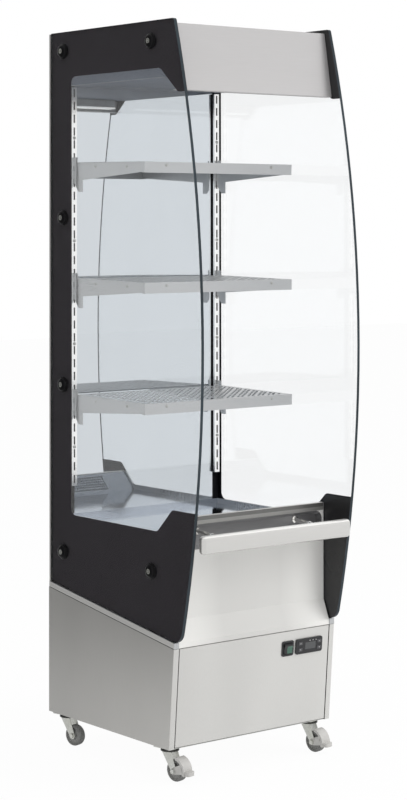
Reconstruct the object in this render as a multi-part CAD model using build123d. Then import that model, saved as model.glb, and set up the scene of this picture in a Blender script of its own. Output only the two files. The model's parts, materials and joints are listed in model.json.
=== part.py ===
from build123d import *
import os
from math import atan2, cos, degrees, hypot, radians, sin, sqrt

# Open-front display warmer: a heated self-service cabinet with bowed glass sides,
# lift-off shelves over a deck, a lit canopy and a base on four castors.
# Millimetres. X is to the right, the open front faces -Y and Z is up. The origin is
# on the floor under the middle of the cabinet.

# Overall
total_height = 1735.0
base_width = 484.0
base_depth = 503.5            # front of the base at its top seam to the back cover
glass_overhang = 96.5         # furthest forward point of the glass ahead of the base
sheet = 1.5                   # folded steel sheet
gap = 0.3                     # between pieces that move past each other
running = 0.05                # radial running fit of a pin in its bore

# Base
castor_height = 78.0
base_front_height = 230.0     # base floor to the side seam at the front
base_foot_setback = 19.0      # the front leans back by this much at the floor
seam_rise = 73.0              # the side seam is this much higher at the rear
seam_gap = 0.8
rim_height = 14.0             # strip above the seam that carries the glass
post_width = 15.5
post_step = 13.0              # the front posts step back to carry the service panel
post_flange = 18.0
service_panel_gap = 1.5       # to the posts beside it
service_panel_top_gap = 0.8
service_panel_foot_gap = 3.2
panel_return = 11.5

# Glass sides
glass_thickness = 8.0
glass_ledge = 3.5             # the base side stands this far outside the glass
glass_rear_inset = 4.5        # rear edge of the glass to the back of the cabinet
glass_bow_radius = 2850.0
glass_bow_height = 985.0      # height of the furthest forward point
glass_top_corner = 7.0
glass_foot_corner = 30.0
film = 0.5                    # black border on the inside of the glass
window_rear_border = 25.0     # border beyond the mirror wall
window_top_border = 22.0      # border below the line of the ceiling
window_corner = 18.0
window_sill_lift = 22.5       # border above the front panel
window_head_drop = 4.0        # border below the canopy front
window_slope_lift = 6.0       # border above the air grille
canopy_border_reach = 67.0    # length of the sloped border corner under the canopy

# Inner frame
frame_wall = 3.0
duct_depth = 72.0             # rear duct behind the mirror wall
deck_height = 552.5
splash_height = 13.0
front_top_height = 598.0
panel_setback = 22.0          # upper front panel behind the base front
flare_top_height = 368.0
flare_foot_height = 320.0
flare_foot_setback = 2.0
ledge_depth = 12.0
grille_depth = 45.5
return_depth = 12.0

# Air grille
grille_hole = 5.0
grille_pitch = 8.0
grille_hole_columns = 37
grille_hole_rows = 6

# Canopy
canopy_height = 132.0         # ceiling to the top of the glass
canopy_recess = 9.0           # the glass stands this much above the top cover
fascia_height = 155.0
fascia_lean = 26.0            # the bottom of the fascia is this much further forward
fascia_overhang = 9.0         # bottom of the fascia ahead of the base front
fascia_lip = 21.0
fascia_end_gap = 1.0          # to the glass
lamp_half_length = 190.0
lamp_depth = 34.0
lamp_height = 20.0
lamp_fascia_gap = 14.0
diffuser_height = 4.0
return_slot_length = 40.0
return_slot_width = 6.0
return_slot_count = 8
return_slot_setback = 24.0

# Back cover
back_hem = 4.0
back_hem_side_inset = 1.0     # hem stands back from the base side
back_top_gap = 2.0
vent_height = 205.0           # middle of the vents behind the base
vent_slot_length = 52.0
vent_slot_height = 5.0
vent_column_pitch = 68.0
vent_row_pitch = 12.0
vent_columns = 4
vent_rows = 7

# Screws of the glass and their caps
cap_radius = 19.0
cap_height = 9.0
cap_flange = 3.0
cap_dome_radius = 16.0
cap_dome_round = 4.0
glass_screw_radius = 4.0
glass_screw_head_radius = 8.0
glass_screw_head_height = 3.5
glass_nut_height = 6.0
glass_nut_radius = 7.0
cap_head_gap = 1.0
rear_cap_setback = 57.0       # from the back of the cabinet
front_cap_setback = 90.5      # behind the base front
upper_cap_drop = 46.5         # below the top of the glass
lower_cap_height = 473.0
rear_cap_count = 4

# Handle and its recess
recess_height = 57.0
recess_side_margin = 5.0
recess_depth = 13.5
recess_corner = 20.0
recess_draft = 30.0
recess_centre_height = 551.5
handle_half_length = 223.0
handle_height = 42.0
handle_depth = 23.0
handle_reach = 84.5           # front of the bar ahead of the base front
handle_end_round = 11.0
handle_edge_round = 9.0
handle_centre_height = 549.0
post_radius = 5.5
post_sleeve_radius = 6.5
post_spacing = 296.0
post_seat = 5.0               # depth of the post in the bar
post_foot_centre = 563.0
post_bar_centre = 553.0       # where the post meets the back of the bar
post_foot_radius = 8.5
post_foot_height = 2.0
post_collar_radius = 7.0
post_collar_length = 4.0
post_collar_distance = 52.0   # from the recess along the post

# Rails
rail_width = 15.0
rail_depth = 11.0
rail_centre = 219.0
rail_foot_height = 634.0
rail_top_gap = 3.0            # to the ceiling
slot_pitch = 31.2
slot_height = 20.0
slot_clearance = 1.1          # each side of the bracket
first_slot = 6.0
screw_pitch_slots = 8
first_screw_slot = 3
rail_screw_radius = 2.0
rail_screw_head_radius = 4.0
rail_screw_head_height = 1.8
rail_screw_reach = 6.0

# Shelves
shelf_half_width = 222.0
shelf_depth = 274.6
shelf_rear_gap = 15.4         # to the face of the rails
shelf_tilt = 1.0              # degrees, lower at the front
shelf_lip = 25.5
shelf_lip_return = 8.0
shelf_flange = 15.0
shelf_slots = {"bottom": 6, "middle": 15, "top": 24}
shelf_hook_drop = 28.8        # shelf top above the bottom of its slot
tray_rim = 12.0
tray_bar_pitch = 32.0         # between the plain diagonal bars, along the width
tray_slot_width = 6.0
tray_slot_length = 40.0
tray_slot_bridge = 5.0
tray_slot_spacing = 9.5       # between the two rows of slots in a band
tray_slot_shortest = 12.0

# Shelf brackets
bracket_plate = 2.0
bracket_rear_height = 43.0
bracket_tail_drop = 72.0
bracket_tail_width = 16.0
bracket_tail_setback = 35.0   # front of the tail to the face of the rail
bracket_heel_drop = 50.0
bracket_tab_rise = 12.0
bracket_tab_width = 13.7
hook_height = 7.0
hook_tongue = 2.2
hook_drop = 4.5
hook_count = 2

# Power switch
rocker_x = 97.0
controls_drop = 41.0          # below the seam, along the panel
rocker_frame_size = 36.0
rocker_frame_flange = 2.0
rocker_body_size = 30.0
rocker_body_depth = 22.0
rocker_radius = 13.0
rocker_half_width = 12.5
rocker_gap = 0.4
rocker_pivot_depth = 2.0
rocker_skirt = 6.0
rocker_end_height = 8.6
rocker_middle_height = 5.4
rocker_rest_tilt = 8.0
rocker_pin_radius = 1.5
rocker_pin_length = 2.0

# Controller
controller_x = 162.0
controller_width = 82.0
controller_height = 36.0
controller_corner = 5.0
controller_proud = 4.0
controller_body_width = 76.0
controller_body_height = 29.0
controller_body_depth = 45.0
window_x = 165.5
window_width = 33.0
window_height = 17.0
window_thickness = 1.5
window_gap = 0.1
key_columns = (134.5, 193.0)
key_spacing = 15.0
key_width = 12.0
key_height = 8.0
key_thickness = 2.7
key_proud = 1.0
key_pocket = 3.0

# Warm air
fan_size = 150.0
fan_depth = 38.0
fan_bore = 70.0
fan_height = 467.0
fan_motor_radius = 26.0
fan_motor_depth = 18.0
fan_strut = 6.0
fan_shaft_radius = 3.0
fan_hub_radius = 25.0
fan_hub_depth = 15.0
fan_blade_count = 7
fan_blade_chord = 25.0
fan_blade_thickness = 1.8
fan_blade_pitch = 35.0
fan_tip_gap = 2.0
heater_radius = 4.0
heater_foot_height = 415.0
heater_pass_pitch = 35.0
heater_passes = 4
heater_bend = 17.0
heater_half_length = 150.0
heater_setback = 33.0         # from the back of the cabinet
terminal_thickness = 3.0
terminal_half_width = 13.0
terminal_margin = 15.0

# Cable gland under the floor
gland_x = -120.0
gland_setback = 30.0
gland_radius = 9.0
gland_length = 16.0
gland_thread_radius = 8.0
gland_thread_length = 12.0
gland_nut_radius = 11.5
gland_nut_height = 5.0
gland_bore = 4.5

# Castors
wheel_radius = 25.0
wheel_width = 18.0
wheel_edge_round = 3.0
wheel_hub_radius = 9.0
wheel_web = 10.0
wheel_tread = 6.0
wheel_side_gap = 1.2
castor_trail = 22.0
castor_plate_size = 56.0
castor_plate_thickness = 2.5
castor_plate_corner = 5.0
race_radius = 20.5
race_height = 4.0
fork_disc_radius = 21.5
fork_disc_height = 4.2
fork_cheek = 2.0
fork_nose = 13.0
fork_heel = 16.0
fork_eye_radius = 8.0
king_pin_radius = 4.0
king_head_radius = 7.0
king_head_height = 3.7
axle_radius = 3.0
axle_collar_radius = 6.2
axle_collar_height = 0.8
axle_head_radius = 5.5
axle_head_height = 3.2
pedal_gap = 1.8               # to the wheel
pedal_wall = 5.7
pedal_low_angle = -14.0
pedal_high_angle = 78.0
pedal_ear = 2.2
pedal_ear_gap = 0.4
pedal_ear_radius = 7.5
pedal_toe_reach = 44.0        # from the axle
pedal_toe_half_width = 12.0
pedal_toe_low = -7.0
pedal_toe_high = 2.5
castor_x = 210.0
front_castor_setback = 57.5   # behind the base front
rear_castor_setback = 38.0    # from the back of the cabinet
castor_turns = {"front_left": 11.5, "front_right": 9.0, "rear_left": 14.0, "rear_right": 12.0}

# Derived places
rear_y = (base_depth + glass_overhang) / 2
front_y = -rear_y
base_front_y = rear_y - base_depth
back_inner_y = rear_y - sheet
floor_z = castor_height
floor_top_z = floor_z + sheet
seam_front_z = floor_z + base_front_height
base_half = base_width / 2
glass_outer = base_half - glass_ledge
glass_inner = glass_outer - glass_thickness
frame_outer = glass_inner - film
inner_half = frame_outer - frame_wall
mirror_y = rear_y - duct_depth
splash_z = deck_height + splash_height
panel_y = base_front_y + panel_setback
ledge_rear_y = panel_y + ledge_depth
deck_front_y = ledge_rear_y + grille_depth
grille_foot_z = deck_height
grille_top_z = front_top_height - sheet
grille_ratio = (grille_top_z - grille_foot_z) / grille_depth
ceiling_z = total_height - canopy_height
canopy_top_z = total_height - canopy_recess
fascia_foot_y = base_front_y - fascia_overhang
fascia_foot_z = canopy_top_z - fascia_height
fascia_half = glass_inner - fascia_end_gap
service_half = base_half - post_width - service_panel_gap
rail_face_y = mirror_y - rail_depth
shelf_rear_y = rail_face_y - shelf_rear_gap
shelf_front_y = shelf_rear_y - shelf_depth
front_lean = degrees(atan2(base_foot_setback, base_front_height))
recess_floor_y = panel_y + recess_depth
heater_y = rear_y - heater_setback

# The sloped front of the base, with Y up along it and Z out of it
base_front = Plane(
    origin=(0, base_front_y, seam_front_z),
    x_dir=(1, 0, 0),
    z_dir=(0, -cos(radians(front_lean)), -sin(radians(front_lean))),
)


def seam_z(y):
    """Height of the side seam at a depth."""
    return seam_front_z + (y - base_front_y) * seam_rise / base_depth


def rim_z(y):
    """Height of the rim under the glass at a depth."""
    return seam_z(y) + rim_height


def front_foot_y(z):
    """Depth of the sloped base front at a height."""
    return base_front_y + (seam_front_z - z) * base_foot_setback / base_front_height


def fascia_inner_y(z):
    """Depth of the inner face of the canopy front at a height."""
    outer = fascia_foot_y + (z - fascia_foot_z) * fascia_lean / fascia_height
    return outer + sheet * hypot(fascia_lean, fascia_height) / fascia_height


def slab(x, y, z):
    """Box between a pair of X, a pair of Y and a pair of Z."""
    middle = [(low + high) / 2 for low, high in (x, y, z)]
    return Pos(*middle) * Box(*(high - low for low, high in (x, y, z)))


def side_plate(face, x_from, x_to):
    """Plate from a face drawn in Y and Z, between two X."""
    return extrude(Plane.YZ.offset(x_from) * face, amount=x_to - x_from)


def outline(*points):
    """Face with straight edges through the points."""
    return make_face(Polyline(*points, close=True))


def folded(*corners, thickness=sheet):
    """Face of a sheet folded along the corners, its metal to the left of the path."""
    path = [Vector(*corner) for corner in corners]
    ways = [(after - before).normalized() for before, after in zip(path, path[1:])]
    sides = [Vector(-way.Y, way.X) for way in ways]
    inner = []
    for corner, one, other in zip(path, sides[:1] + sides, sides + sides[-1:]):
        both = one + other
        inner.append(corner + both * (2 * thickness / both.dot(both)))
    return outline(*path, *reversed(inner))


def cylinder_x(radius, x_from, x_to, y, z):
    """Round bar along X."""
    low, high = sorted((x_from, x_to))
    turned = Pos((low + high) / 2, y, z) * Rot(0, 90, 0)
    return turned * Cylinder(radius, high - low)


def cylinder_y(radius, x, y_from, y_to, z):
    """Round bar along Y."""
    return Pos(x, (y_from + y_to) / 2, z) * Rot(90, 0, 0) * Cylinder(radius, y_to - y_from)


def cylinder_z(radius, x, y, z_from, z_to):
    """Round bar along Z."""
    return Pos(x, y, (z_from + z_to) / 2) * Cylinder(radius, z_to - z_from)


def on_front(x, drop, proud_from, proud_to, width, height):
    """Box on the sloped base front, at an X and a distance down from the seam."""
    middle = Pos(x, -drop, (proud_from + proud_to) / 2)
    return base_front * middle * Box(width, height, proud_to - proud_from)


def both_sides(right):
    """Right-hand solids with their mirror images."""
    return [right, mirror(right, about=Plane.YZ)]


# Base

def base_floor():
    pan = slab((-base_half + sheet, base_half - sheet),
               (front_foot_y(floor_z) + 2 * sheet, back_inner_y), (floor_z, floor_top_z))
    return pan - cylinder_z(gland_thread_radius, gland_x, rear_y - gland_setback,
                            floor_z - sheet, floor_top_z + sheet)


def base_side():
    """Right side of the base with its front post and the step behind it."""
    wall = outline((rear_y, floor_z), (rear_y, seam_z(rear_y)),
                   (base_front_y, seam_front_z), (front_foot_y(floor_z), floor_z))
    side = side_plate(wall, base_half - sheet, base_half)
    front_length = base_front_height / cos(radians(front_lean))
    post_inner = base_half - post_width
    side += on_front(base_half - post_width / 2, front_length / 2, -sheet, 0,
                     post_width, front_length)
    step_length = front_length - 2 * service_panel_foot_gap
    side += on_front(post_inner + sheet / 2, front_length / 2, -post_step, 0,
                     sheet, step_length)
    side += on_front(post_inner + sheet - post_flange / 2, front_length / 2,
                     -post_step, -post_step + sheet, post_flange, step_length)
    return side


def back_cover():
    """Rear sheet with hems beside the glass and vents behind the base."""
    top = total_height - back_top_gap
    hem_foot = rim_z(rear_y)
    cover = slab((-base_half + sheet, base_half - sheet), (back_inner_y, rear_y),
                 (floor_z, hem_foot))
    half = base_half - back_hem_side_inset
    cover += slab((-half, half), (back_inner_y, rear_y), (hem_foot, top))
    hem = slab((half - sheet, half), (rear_y - back_hem, rear_y), (hem_foot, top))
    for side in both_sides(hem):
        cover += side
    vents = GridLocations(vent_column_pitch, vent_row_pitch, vent_columns, vent_rows)
    outer = Plane(origin=(0, rear_y, vent_height), x_dir=(1, 0, 0), z_dir=(0, -1, 0))
    slots = [outer * place * SlotOverall(vent_slot_length, vent_slot_height) for place in vents]
    return cover - [extrude(slot, amount=2 * sheet, both=True) for slot in slots]


def inlet_gland():
    y = rear_y - gland_setback
    body = Pos(gland_x, y, floor_z - gland_length / 2) * extrude(
        Plane.XY.offset(-gland_length / 2) * RegularPolygon(gland_radius, 6), amount=gland_length)
    body += cylinder_z(gland_thread_radius, gland_x, y, floor_z, floor_top_z + gland_thread_length)
    body += Pos(gland_x, y, floor_top_z) * extrude(
        RegularPolygon(gland_nut_radius, 6), amount=gland_nut_height)
    return body - cylinder_z(gland_bore, gland_x, y, floor_z - 2 * gland_length,
                             floor_top_z + 2 * gland_thread_length)


def service_panel():
    """Sloped cover of the base with cut-outs for the switch and the controller."""
    height = base_front_height / cos(radians(front_lean))
    height -= service_panel_top_gap + service_panel_foot_gap
    drop = service_panel_top_gap + height / 2
    panel = on_front(0, drop, -panel_return, 0, 2 * service_half, height)
    panel -= on_front(0, drop, -2 * panel_return, -sheet,
                      2 * (service_half - sheet), height - 2 * sheet)
    panel -= on_front(rocker_x, controls_drop, -2 * sheet, sheet,
                      rocker_body_size, rocker_body_size)
    panel -= on_front(controller_x, controls_drop, -2 * sheet, sheet,
                      controller_body_width, controller_body_height)
    return panel


# Inner frame

def side_frame():
    """Right inner wall with its rear column and the rim that carries the glass."""
    wall_front_y = panel_y + sheet
    wall_foot_y = front_foot_y(floor_z) + post_step + sheet
    lift_y = deck_front_y - (splash_height - window_slope_lift) / grille_ratio
    shoulder_y = deck_front_y - (front_top_height - grille_foot_z - window_slope_lift) / grille_ratio
    column_y = mirror_y + sheet
    wall = outline(
        (wall_front_y, seam_front_z), (wall_foot_y, seam_front_z),
        (wall_foot_y, floor_top_z), (back_inner_y, floor_top_z),
        (back_inner_y, canopy_top_z - sheet), (column_y, canopy_top_z - sheet),
        (column_y, splash_z), (lift_y, splash_z),
        (shoulder_y, front_top_height), (wall_front_y, front_top_height),
    )
    frame = side_plate(wall, inner_half, frame_outer)
    ends = (base_front_y, back_inner_y)
    ledge = outline(*((y, rim_z(y)) for y in ends), *((y, rim_z(y) - sheet) for y in reversed(ends)))
    skin = outline(*((y, rim_z(y)) for y in ends),
                   *((y, seam_z(y) + seam_gap) for y in reversed(ends)))
    frame += side_plate(ledge, frame_outer, base_half)
    frame += side_plate(skin, base_half - sheet, base_half)
    head = slab((inner_half + gap, base_half), (base_front_y, base_front_y + sheet),
                (seam_front_z + seam_gap, rim_z(base_front_y)))
    return frame + head


def duct_partition():
    """Wall between the base and the rear duct, with the hole of the fan."""
    wall = slab((-inner_half, inner_half), (mirror_y, mirror_y + sheet), (floor_top_z, splash_z))
    return wall - cylinder_y(fan_bore, 0, mirror_y - sheet, mirror_y + 2 * sheet, fan_height)


def front_panel():
    """Front of the inner frame, flared at its foot, with the pressed handle recess."""
    foot_z = seam_front_z + seam_gap
    foot_y = base_front_y + sheet
    flare_y = base_front_y + flare_foot_setback
    skin = folded((ledge_rear_y, front_top_height), (panel_y, front_top_height),
                  (panel_y, flare_top_height), (flare_y, flare_foot_height),
                  (foot_y, foot_z), (foot_y + return_depth, foot_z))
    panel = side_plate(skin, -inner_half, inner_half)
    edge = slab((inner_half - sheet, inner_half), (panel_y, ledge_rear_y - sheet),
                (flare_top_height + sheet, front_top_height))
    for side in both_sides(edge):
        panel += side
    mouth = Plane(origin=(0, panel_y, recess_centre_height), x_dir=(1, 0, 0), z_dir=(0, 1, 0))
    width = 2 * (inner_half - recess_side_margin)
    tub = RectangleRounded(width + 2 * sheet, recess_height + 2 * sheet, recess_corner + sheet)
    panel += extrude(mouth * tub, amount=recess_depth + sheet, taper=recess_draft)
    hollow = RectangleRounded(width, recess_height, recess_corner)
    return panel - extrude(mouth * hollow, amount=recess_depth, taper=recess_draft)


def deck():
    """Floor of the warm chamber with its rear upstand."""
    width = (-inner_half, inner_half)
    under = deck_height - sheet
    top = slab(width, (deck_front_y, mirror_y), (under, deck_height))
    upstand = slab(width, (mirror_y - sheet, mirror_y), (under, splash_z))
    apron = slab(width, (deck_front_y, deck_front_y + sheet),
                 (deck_height - return_depth, deck_height))
    return top + upstand + apron


def air_grille():
    """Sloped perforated sheet between the deck and the front panel."""
    rise = grille_top_z - grille_foot_z
    length = hypot(grille_depth, rise)
    slope = Plane(
        origin=(0, (deck_front_y + ledge_rear_y) / 2, (grille_foot_z + grille_top_z) / 2),
        x_dir=(1, 0, 0),
        z_dir=(0, rise, grille_depth),
    )
    holes = GridLocations(grille_pitch, grille_pitch, grille_hole_columns, grille_hole_rows)
    face = Rectangle(2 * inner_half, length)
    face -= [place * Rectangle(grille_hole, grille_hole) for place in holes]
    return extrude(slope * face, amount=-sheet)


# Chamber and canopy

def mirror_wall():
    wall = slab((-frame_outer, frame_outer), (mirror_y, mirror_y + sheet), (splash_z, ceiling_z))
    for x, z in rail_screw_places():
        wall -= cylinder_y(rail_screw_radius, x, mirror_y - sheet, mirror_y + 2 * sheet, z)
    return wall


def ceiling():
    """Ceiling of the chamber, with slots at the rear that return the air to the duct."""
    depth = (fascia_inner_y(ceiling_z + sheet), mirror_y + sheet)
    sheet_top = slab((-inner_half, inner_half), depth, (ceiling_z, ceiling_z + sheet))
    pitch = 2 * inner_half / return_slot_count
    slot = Rectangle(return_slot_length, return_slot_width)
    row = Pos(0, mirror_y - return_slot_setback, ceiling_z - sheet)
    places = GridLocations(pitch, 1, return_slot_count, 1)
    cuts = [extrude(row * place * slot, amount=3 * sheet) for place in places]
    return sheet_top - cuts


def canopy_top():
    """Top cover with the side walls that the glass is bolted to."""
    under = canopy_top_z - sheet
    cover = slab((-frame_outer, frame_outer), (fascia_inner_y(canopy_top_z), back_inner_y),
                 (under, canopy_top_z))
    wall = outline((fascia_inner_y(ceiling_z), ceiling_z), (fascia_inner_y(under), under),
                   (mirror_y + sheet, under), (mirror_y + sheet, ceiling_z))
    for side in both_sides(side_plate(wall, inner_half, frame_outer)):
        cover += side
    return cover


def canopy_fascia():
    """Leaning front of the canopy with its inward lip."""
    top_y = fascia_foot_y + fascia_lean
    skin = folded((top_y, canopy_top_z), (fascia_foot_y, fascia_foot_z),
                  (fascia_foot_y + fascia_lip, fascia_foot_z))
    return side_plate(skin, -fascia_half, fascia_half)


def lamp_depths():
    """Front and rear of the lamp under the ceiling."""
    front = fascia_inner_y(ceiling_z) + lamp_fascia_gap
    return front, front + lamp_depth


def lamp_housing():
    """Channel of the lamp, open downward to its diffuser."""
    front, rear = lamp_depths()
    foot = ceiling_z - lamp_height
    body = slab((-lamp_half_length, lamp_half_length), (front, rear), (foot, ceiling_z))
    return body - slab((-lamp_half_length + sheet, lamp_half_length - sheet),
                       (front + sheet, rear - sheet), (foot - sheet, ceiling_z - sheet))


def lamp_diffuser():
    front, rear = lamp_depths()
    foot = ceiling_z - lamp_height
    return slab((-lamp_half_length, lamp_half_length), (front, rear), (foot - diffuser_height, foot))


# Glass sides

def glass_outline():
    """Side glass: upright rear edge, sloped foot, bowed front edge."""
    rear = rear_y - glass_rear_inset
    ahead = front_y - glass_overhang
    slab_face = outline((rear, rim_z(rear)), (rear, total_height),
                        (ahead, total_height), (ahead, rim_z(ahead)))
    bow = Pos(front_y + glass_bow_radius, glass_bow_height) * Circle(glass_bow_radius)
    face = slab_face & bow
    foot, top = face.vertices().sort_by(Axis.X)[:2].sort_by(Axis.Y)
    face = fillet(foot, glass_foot_corner)
    top = face.vertices().sort_by(Axis.Y)[-2:].sort_by(Axis.X)[0]
    return fillet(top, glass_top_corner)


def window_outline():
    """Clear part of the side glass inside its black border."""
    rear = mirror_y - window_rear_border
    top = ceiling_z + window_top_border
    sill = front_top_height + window_sill_lift
    head = fascia_foot_z - window_head_drop
    ahead = front_y - glass_overhang
    foot_y = deck_front_y - (splash_height - window_slope_lift) / grille_ratio
    sill_y = deck_front_y - (sill - grille_foot_z - window_slope_lift) / grille_ratio
    head_y = fascia_foot_y + window_head_drop / 2
    face = outline((rear, splash_z), (rear, top), (head_y + canopy_border_reach, top),
                   (head_y, head), (ahead, head), (ahead, sill), (sill_y, sill), (foot_y, splash_z))
    rounded = [v for v in face.vertices() if v.X > ahead + 1]
    return fillet(rounded, window_corner)


def glass_screw_places():
    """Depth and height of the screws of one glass side."""
    rear = rear_y - rear_cap_setback
    front = base_front_y + front_cap_setback
    top = total_height - upper_cap_drop
    pitch = (top - lower_cap_height) / (rear_cap_count - 1)
    places = [(rear, lower_cap_height + i * pitch) for i in range(rear_cap_count)]
    return places + [(front, lower_cap_height), (front, top)]


def glass_side():
    glass = side_plate(glass_outline(), glass_inner, glass_outer)
    for y, z in glass_screw_places():
        glass -= cylinder_x(glass_screw_radius, frame_outer, base_half, y, z)
    return glass


def glass_border():
    """Black border film on the inner face of the right glass."""
    border = side_plate(glass_outline() - window_outline(), frame_outer, glass_inner)
    for y, z in glass_screw_places():
        border -= cylinder_x(glass_screw_radius, frame_outer - film, base_half, y, z)
    return border


def glass_screw(y, z):
    """Screw through the right glass into the frame, with its nut inside."""
    nut_x = inner_half - glass_nut_height
    head_x = glass_outer + glass_screw_head_height
    screw = cylinder_x(glass_screw_radius, nut_x, glass_outer, y, z)
    screw += cylinder_x(glass_screw_head_radius, glass_outer, head_x, y, z)
    return screw + cylinder_x(glass_nut_radius, nut_x, inner_half, y, z)


def glass_cap(y, z):
    """Round cap over the head of a glass screw."""
    cap = cylinder_x(cap_radius, glass_outer, glass_outer + cap_flange, y, z)
    dome = cylinder_x(cap_dome_radius, glass_outer, glass_outer + cap_height, y, z)
    cap += fillet(dome.edges().sort_by(Axis.X)[-1], cap_dome_round)
    return cap - cylinder_x(glass_screw_head_radius + cap_head_gap, glass_outer,
                            glass_outer + glass_screw_head_height + cap_head_gap, y, z)


def drilled(piece, x_from, x_to, places):
    """Piece with the holes of the glass screws through it, on both sides."""
    for y, z in places:
        for hole in both_sides(cylinder_x(glass_screw_radius, x_from, x_to, y, z)):
            piece -= hole
    return piece


# Handle

bar_rear_y = base_front_y - handle_reach + handle_depth
post_length = hypot(bar_rear_y - recess_floor_y, post_bar_centre - post_foot_centre)


def handle_places():
    """Frames of the two posts: on the recess floor, with Z along the post to the bar."""
    run = (0, bar_rear_y - recess_floor_y, post_bar_centre - post_foot_centre)
    return [Plane(origin=(x, recess_floor_y, post_foot_centre), x_dir=(1, 0, 0), z_dir=run)
            for x in (-post_spacing / 2, post_spacing / 2)]


def along_post(place, radius, start, end):
    """Cylinder on the axis of a post, between two distances from the recess floor."""
    return extrude(place.offset(start) * Circle(radius), amount=end - start)


def handle_bar():
    """Rounded push bar with blind holes for its posts."""
    front = base_front_y - handle_reach
    plan = RectangleRounded(2 * handle_half_length, handle_depth, handle_end_round)
    foot = handle_centre_height - handle_height / 2
    bar = Pos(0, front + handle_depth / 2, foot) * extrude(plan, amount=handle_height)
    rims = bar.edges().filter_by_position(Axis.Z, foot - 1, foot + 1)
    rims += bar.edges().filter_by_position(Axis.Z, foot + handle_height - 1, foot + handle_height + 1)
    bar = fillet(rims, handle_edge_round)
    for place in handle_places():
        bar -= along_post(place, post_sleeve_radius, post_length - 2 * post_seat,
                          post_length + post_seat)
    return bar


def handle_post(place):
    """Sloping post with its foot in the recess, its collar and the sleeve in the bar."""
    x = place.origin.X
    post = along_post(place, post_radius, -post_foot_height, post_collar_distance)
    post -= cylinder_y(post_foot_radius, x, recess_floor_y, recess_floor_y + post_foot_radius,
                       post_foot_centre)
    post += cylinder_y(post_foot_radius, x, recess_floor_y - post_foot_height, recess_floor_y,
                       post_foot_centre)
    sleeve = post_collar_distance + post_collar_length
    post += along_post(place, post_collar_radius, post_collar_distance, sleeve)
    return post + along_post(place, post_sleeve_radius, sleeve, post_length + post_seat)


# Rails and shelves

def slot_foot_z(number):
    """Height of the foot of a rail slot, counted from the lowest."""
    return rail_foot_height + first_slot + number * slot_pitch


def rail_top_z():
    return ceiling_z - rail_top_gap


def rail_screw_places():
    """X and Z of the rail screws, on the bridges between slots."""
    step = screw_pitch_slots * slot_pitch
    first = slot_foot_z(first_screw_slot) - (slot_pitch - slot_height) / 2
    count = int((rail_top_z() - first) // step) + 1
    return [(x, first + i * step) for i in range(count) for x in (-rail_centre, rail_centre)]


def rail():
    """Right slotted rail, a channel open to the mirror wall."""
    half = rail_width / 2
    x = (rail_centre - half, rail_centre + half)
    z = (rail_foot_height, rail_top_z())
    channel = slab(x, (rail_face_y, mirror_y), z)
    channel -= slab((x[0] + sheet, x[1] - sheet), (rail_face_y + sheet, mirror_y + sheet),
                    (z[0] - sheet, z[1] + sheet))
    count = int((z[1] - slot_foot_z(0) - slot_height) // slot_pitch) + 1
    slot_half = bracket_plate / 2 + slot_clearance
    slots = [slab((rail_centre - slot_half, rail_centre + slot_half),
                  (rail_face_y - sheet, rail_face_y + 2 * sheet),
                  (slot_foot_z(i), slot_foot_z(i) + slot_height)) for i in range(count)]
    holes = [cylinder_y(rail_screw_radius, px, rail_face_y - sheet, rail_face_y + 2 * sheet, pz)
             for px, pz in rail_screw_places() if px > 0]
    return channel - slots - holes


def rail_screw(x, z):
    screw = cylinder_y(rail_screw_radius, x, rail_face_y, mirror_y + sheet + rail_screw_reach, z)
    return screw + cylinder_y(rail_screw_head_radius, x, rail_face_y - rail_screw_head_height,
                              rail_face_y, z)


def tray_slots():
    """Places and lengths of the diagonal slots of a shelf, in bands between plain bars."""
    half_x = shelf_half_width - tray_rim
    half_y = shelf_depth / 2 - tray_rim
    band = tray_bar_pitch / sqrt(2)
    reach = (half_x + half_y) / sqrt(2)
    count = int(reach // band)
    slots = []
    for i in range(-count, count + 1):
        for side in (-1, 1):
            across = i * band + side * tray_slot_spacing / 2
            # The row is the line x - y = across * sqrt(2), between the rims
            shift = across * sqrt(2)
            low = max(-half_x, -half_y + shift)
            high = min(half_x, half_y + shift)
            length = (high - low) * sqrt(2)
            pieces = max(1, round(length / (tray_slot_length + tray_slot_bridge)))
            pitch = length / pieces
            if pitch - tray_slot_bridge < tray_slot_shortest:
                continue
            for n in range(pieces):
                x = low + (n + 0.5) * pitch / sqrt(2)
                slots.append((x, x - shift, pitch - tray_slot_bridge))
    return slots


def shelf_rear_z(level):
    """Height of the rear edge of a shelf's top."""
    return slot_foot_z(shelf_slots[level]) + shelf_hook_drop


def tilted(piece, level):
    """Piece drawn level with a shelf's top at z = 0, laid at the shelf's height and tilt."""
    pivot = Pos(0, shelf_rear_y, shelf_rear_z(level))
    return pivot * Rot(shelf_tilt, 0, 0) * Pos(0, -shelf_rear_y, 0) * piece


def bracket_inner():
    """X of the inner face of the right bracket."""
    return rail_centre - bracket_plate / 2


def shelf(level):
    """Perforated tray with a deep front lip."""
    width = 2 * shelf_half_width
    middle_y = (shelf_front_y + shelf_rear_y) / 2
    slots = [Pos(x, y) * Rot(0, 0, 45) * SlotOverall(length, tray_slot_width)
             for x, y, length in tray_slots()]
    face = Rectangle(width, shelf_depth) - slots
    tray = extrude(Pos(0, middle_y, -sheet) * face, amount=sheet)
    lip = folded((shelf_front_y, 0), (shelf_front_y, -shelf_lip),
                 (shelf_front_y + sheet + shelf_lip_return, -shelf_lip))
    tray += side_plate(lip, -shelf_half_width, shelf_half_width)
    flange = slab((bracket_inner() - sheet, bracket_inner()),
                  (shelf_front_y + sheet, shelf_rear_y), (-shelf_flange, 0))
    for side in both_sides(flange):
        tray += side
    return tilted(tray, level)


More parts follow.
